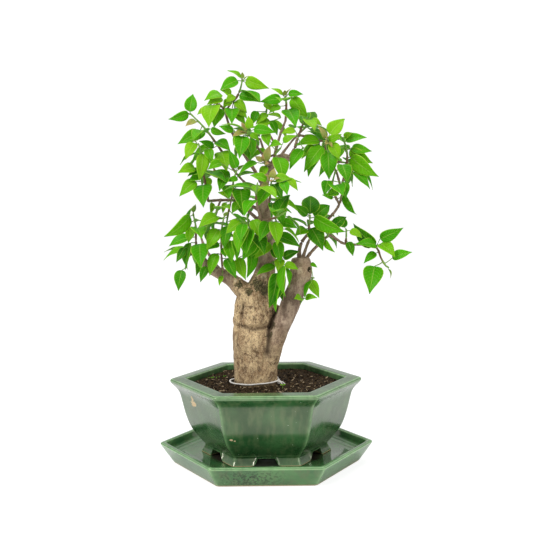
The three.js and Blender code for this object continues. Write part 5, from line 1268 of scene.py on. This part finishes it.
def young_leaf(places, number, count, seed, attempt):
    rule = YOUNG_LEAF
    root, along, _ = places[-1]
    turn = 360 * number / count + rule["turnDraw"] * draw(seed) + rule["turnTry"] * attempt
    outward = sideways(along, math.radians(turn))
    base = root + outward * rule["petiole"] + along * rule["petioleAhead"]
    reach = unit(outward + along * rule["ahead"])
    length = rule["length"] + rule["lengthDraw"] * draw(seed + 1)
    up = along + outward * rule["upOutward"]
    return root, base, base + reach * length, rule["width"] * length, up


def shoot_leaves(shoot, index, places, bare):
    """The leaves of a shoot as (number, leaf, how bronze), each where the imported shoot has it."""
    first = 1000 * index
    choices = []
    for i, numbers in enumerate(shoot.leaves):
        tries = [front_leaf(places, bare, numbers, first + 10 * i, k) for k in range(TRIES)]
        choices.append((tries, 0.75 if i in BRONZE_LEAVES.get(shoot.name, []) else 0.0))
    for i in range(shoot.tuft):
        tries = [young_leaf(places, i, shoot.tuft, first + 300 + 10 * i, k) for k in range(TRIES)]
        choices.append((tries, BRONZE.get(shoot.name, SLIGHTLY_BRONZE)))
    for i in range(shoot.more):
        tries = [ruled_leaf(places, i, shoot.more, first + 600 + 10 * i, k) for k in range(TRIES)]
        choices.append((tries, 0.0))
    packed = vectors_of(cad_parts["shoot_" + shoot.name].data.vertices, "co") * 1000
    found = []
    for number, (tries, bronze) in enumerate(choices):
        gaps = [np.min(np.linalg.norm(packed - leaf[2], axis=1)) for leaf in tries]
        for reach in TIP_REACH:
            near_enough = [leaf for leaf, gap in zip(tries, gaps) if gap < reach]
            if near_enough:
                found.append((number, near_enough[0], bronze))
                break
    return found, len(choices)


# ---------------------------------------------------------------- leafy shoots


def blade_axes(leaf):
    """A blade's chord and length, and the unit vectors along, across and up from it."""
    _, base, tip, _, up = leaf
    chord = tip - base
    length = np.linalg.norm(chord)
    along = chord / length
    return chord, length, along, *frame_along(along, up)


def blade_point(leaf, seed, s, t):
    """The point of an arched, folded and waved blade at s of its length and t of its half width."""
    base, width = leaf[1], leaf[3]
    chord, length, along, side, over = blade_axes(leaf)
    fold = FOLD + 0.16 * draw(seed + 7)
    half = 0.5 * FULLER * width * float(np.interp(s, *zip(*LEAF_OUTLINE)))
    middle = base + chord * s + over * (4 * LEAF["arch"] * length * s * (1 - s))
    reach = half * abs(t)
    rise = reach * math.sin(fold) + 0.06 * half * math.sin(math.pi * abs(t))
    wave = 0.05 * width * draw(seed + 8)
    rise += wave * t * t * math.sin(8 * s + 6.3 * draw(seed + 9) + (1.7 if t > 0 else 0))
    point = middle + side * math.copysign(reach * math.cos(fold), t) + over * rise
    return point - along * (0.10 * half * abs(t) * (1 - s) if s < 0.15 else 0)


def blade_faces(rows, columns):
    """Faces of a closed blade: upper and lower points row by row, and the tip as the last one."""
    size = columns * rows
    end = 2 * size
    faces = []
    for r in range(rows - 1):
        for c in range(columns - 1):
            a, b = r * columns + c, (r + 1) * columns + c
            faces += [(a, b, b + 1, a + 1), (size + a, size + a + 1, size + b + 1, size + b)]
        a, b = r * columns, (r + 1) * columns
        faces.append((a, size + a, size + b, b))
        a, b = a + columns - 1, b + columns - 1
        faces.append((a, b, size + b, size + a))
    for c in range(columns - 1):
        faces.append((c, c + 1, size + c + 1, size + c))
        a = (rows - 1) * columns + c
        faces += [(a, end, a + 1), (size + a, size + a + 1, end)]
    a, b = (rows - 1) * columns, rows * columns - 1
    return faces + [(a, size + a, end), (b, end, size + b)]


def add_leaf(build, leaf, seed, tone, bronze):
    """One leaf: a blade with a drawn-out tip, and its petiole."""
    root, base, tip = leaf[:3]
    chord, length, _, _, over = blade_axes(leaf)
    rows = [s for s, _ in LEAF_OUTLINE[:-1]]
    spots = [(s, t) for s in rows for t in LEAF_COLUMNS]
    middle = [blade_point(leaf, seed, s, t) for s, t in spots]
    points = [p + over * BLADE / 2 for p in middle] + [p - over * BLADE / 2 for p in middle] + [tip]
    along, across = [s for s, _ in spots] * 2 + [1.0], [float(t) for _, t in spots] * 2 + [0.0]
    under = [0.0] * len(spots) + [1.0] * len(spots) + [0.5]
    build.add(points, blade_faces(len(rows), len(LEAF_COLUMNS)), 0, across=across, along=along, tone=tone,
              bronze=bronze, under=under)
    gap = np.linalg.norm(base - root)
    bend = root + unit(base - root) * gap * 0.45 - UP * 0.04 * gap
    into_blade = base + chord * 0.12 + over * 0.3 * LEAF["arch"] * length
    thick = 0.42 + 0.006 * length
    petiole = bent_hair([root, bend, base, into_blade], [thick * 1.25, thick, thick * 0.9, thick * 0.35], 3)
    add_tube(build, petiole, 6, 1, wood=0.12 + 0.2 * draw(seed + 4) + 0.35 * bronze)


def add_stem(build, route, roots, woody):
    """A stem with a swelling where each leaf leaves it, and a bud at its end."""
    places = smooth_route(route, 6)
    swollen, wood = [], []
    for i, (at, along, radius) in enumerate(places):
        away = min([np.linalg.norm(at - root) for root in roots], default=99)
        swollen.append((at, along, radius * (1 + 0.28 * math.exp(-((away / 1.6) ** 2)))))
        wood.append(max(0.0, woody * (1 - 1.15 * i / len(places))))
    at, along, radius = places[-1]
    for share, thin in [(0.35, 0.95), (0.7, 0.55), (1.0, 0.08)]:
        swollen.append((at + along * STEM["bud"] * share, along, radius * thin))
        wood.append(wood[-1])
    add_tube(build, swollen, 8, 1, wood=wood)


def leaf_tone(leaf, seed, deep):
    """How light a leaf's green is: more so where it is high or small, and less so at the back, as painted
    shade inside the crown.
    """
    _, base, tip, _, _ = leaf
    high = np.clip((base[2] - 300) / 180, 0, 1)
    small = 0.25 if np.linalg.norm(tip - base) < 20 else 0
    return float(np.clip(0.1 + 0.72 * draw(seed) + 0.2 * high + small - 0.15 * deep, 0, 1))


def leaf_build():
    return Build("across", "along", "tone", "bronze", "under", "wood")


def make_shoots(leaf_material, twig):
    axis, radii = axis_points([*LIMBS.values(), *BRANCHES.values()], 6)
    matched, wanted = 0, 0
    for index, shoot in enumerate(SHOOTS):
        build = leaf_build()
        route, bare = stem_route(shoot, axis, radii)
        leaves, count = shoot_leaves(shoot, index, smooth_route(route, 1), bare)
        matched, wanted = matched + len(leaves), wanted + count
        # deep: a shoot at the back, whose leaves get darker as painted shade
        deep = sum(p[1] for p in shoot.route) / len(shoot.route) > 20
        for number, leaf, bronze in leaves:
            seed = 1000 * index + 17 * number
            add_leaf(build, leaf, seed, leaf_tone(leaf, seed, deep), bronze)
        add_stem(build, route, [leaf[0] for _, leaf, _ in leaves], 1.0 if shoot.more + shoot.tuft else 0.7)
        name = "shoot_" + shoot.name
        place(name + "_leafy", build, [leaf_material, twig], "leaf", [name])
    print(f"leaves found in the packed shoots: {matched} of {wanted}")


# ---------------------------------------------------------------- moss and a seedling


def make_moss(look):
    """Moss flecks on the soil."""
    build = Build()
    dice = random.Random(12)
    for middle_x, middle_y, spread, count in MOSS:
        for _ in range(count):
            x, y = middle_x + dice.gauss(0, spread), middle_y + dice.gauss(0, spread * 0.4)
            root = np.array([x, y, soil_height(x, y) - 0.3])
            lean = np.array([dice.uniform(-1, 1), dice.uniform(-1, 1), 0])
            tip = root + lean * 1.2 + UP * dice.uniform(1.2, 2.8)
            add_tube(build, bent_hair([root, (root + tip) / 2 + lean * 0.2, tip], [0.5, 0.6, 0.15], 3), 5)
    place("moss_flecks", build, [look], "soil")


def make_seedling(leaf_material, twig):
    """The seedling by the knot."""
    build = leaf_build()
    x, y = SEEDLING["at"]
    root = np.array([x, y, soil_height(x, y) - 0.4])
    top = root + vec(SEEDLING["top"])
    middle = (root + top) / 2 + np.array([0.4, 0, 0])
    add_tube(build, bent_hair([root, middle, top], [0.4, 0.36, 0.3], 4), 6, 1, wood=0.1)
    for i, reach in enumerate(SEEDLING["leaves"]):
        tip = top + vec(reach)
        base = top + (tip - top) * 0.15
        add_leaf(build, (top, base, tip, SEEDLING["width"], UP + np.array([0, -0.5, 0])), 71 + i, 1.0, 0.0)
    place("seedling", build, [leaf_material, twig], "leaf")


# ---------------------------------------------------------------- camera, light and floor


def make_camera():
    data = bpy.data.cameras.new("camera")
    data.lens, data.sensor_width, data.shift_x = CAMERA["lens"], 36, CAMERA["shift"] / PHOTO_WIDTH
    data.clip_start, data.clip_end = 0.05, 50
    camera = linked("camera", data)
    camera.location = (0, CAMERA["y"] * MM, CAMERA["z"] * MM)
    camera.rotation_mode = "QUATERNION"
    tilt = Quaternion((1, 0, 0), math.pi / 2 - CAMERA["pitch"])
    camera.rotation_quaternion = tilt @ Quaternion((0, 0, 1), CAMERA["roll"])
    bpy.context.scene.camera = camera


def make_lamp(name, where, size, power):
    data = bpy.data.lights.new(name, "AREA")
    data.shape, data.size, data.energy = "DISK", size, power
    lamp = linked(name, data)
    lamp.location = where
    lamp.rotation_euler = (Vector(MIDDLE) - Vector(where)).to_track_quat("-Z", "Y").to_euler()


def make_sky():
    """A white world, a little brighter to the camera than to the tree."""
    world = bpy.data.worlds.new("studio")
    world.use_nodes = True
    nodes, links = world.node_tree.nodes, world.node_tree.links
    background = nodes["Background"]
    rays, strength = nodes.new("ShaderNodeLightPath"), nodes.new("ShaderNodeMapRange")
    background.inputs["Color"].default_value = (1, 1, 1, 1)
    strength.inputs["To Min"].default_value, strength.inputs["To Max"].default_value = SKY_LIGHT, SKY_SEEN
    links.new(rays.outputs["Is Camera Ray"], strength.inputs["Value"])
    links.new(strength.outputs[0], background.inputs["Strength"])
    bpy.context.scene.world = world


def make_floor():
    floor = Build()
    edge = [(*(FLOOR_RADIUS * heading(a)), 0.0) for a in np.linspace(0, 2 * math.pi, 64, endpoint=False)]
    floor.add(edge, [tuple(range(64))])
    stage = linked("floor", floor.mesh("floor"))
    stage.data.materials.append(floor_look())


def make_studio():
    bpy.context.scene.view_settings.view_transform = "Standard"
    bpy.context.scene.view_settings.look = "None"
    make_sky()
    for name, lamp in LAMPS.items():
        make_lamp(name, *lamp)
    make_floor()


# ---------------------------------------------------------------- the whole scene

make_camera()
make_studio()
leaf_material, twig_material = leaf_look(), twig_look()
make_saucer(glaze_look("saucer_glaze", (0.034, 0.13, 0.042), (0.075, 0.21, 0.068), (0.07, 0.15),
                       SAUCER_UNDER_POT_SHADE))
make_pot(glaze_look("pot_glaze", (0.013, 0.060, 0.017), (0.036, 0.112, 0.036), (0.16, 0.27),
                    POT_UNDERSIDE_SHADE, POT_CHIPS))
make_soil(soil_look())
make_trunk(bark_look(), twig_material)
make_tie(string_look())
make_shoots(leaf_material, twig_material)
make_moss(moss_look())
make_seedling(leaf_material, twig_material)

plastic = screen_look()
for name in ("drain_screen_left", "drain_screen_right"):
    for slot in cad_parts[name].material_slots:
        slot.material = plastic
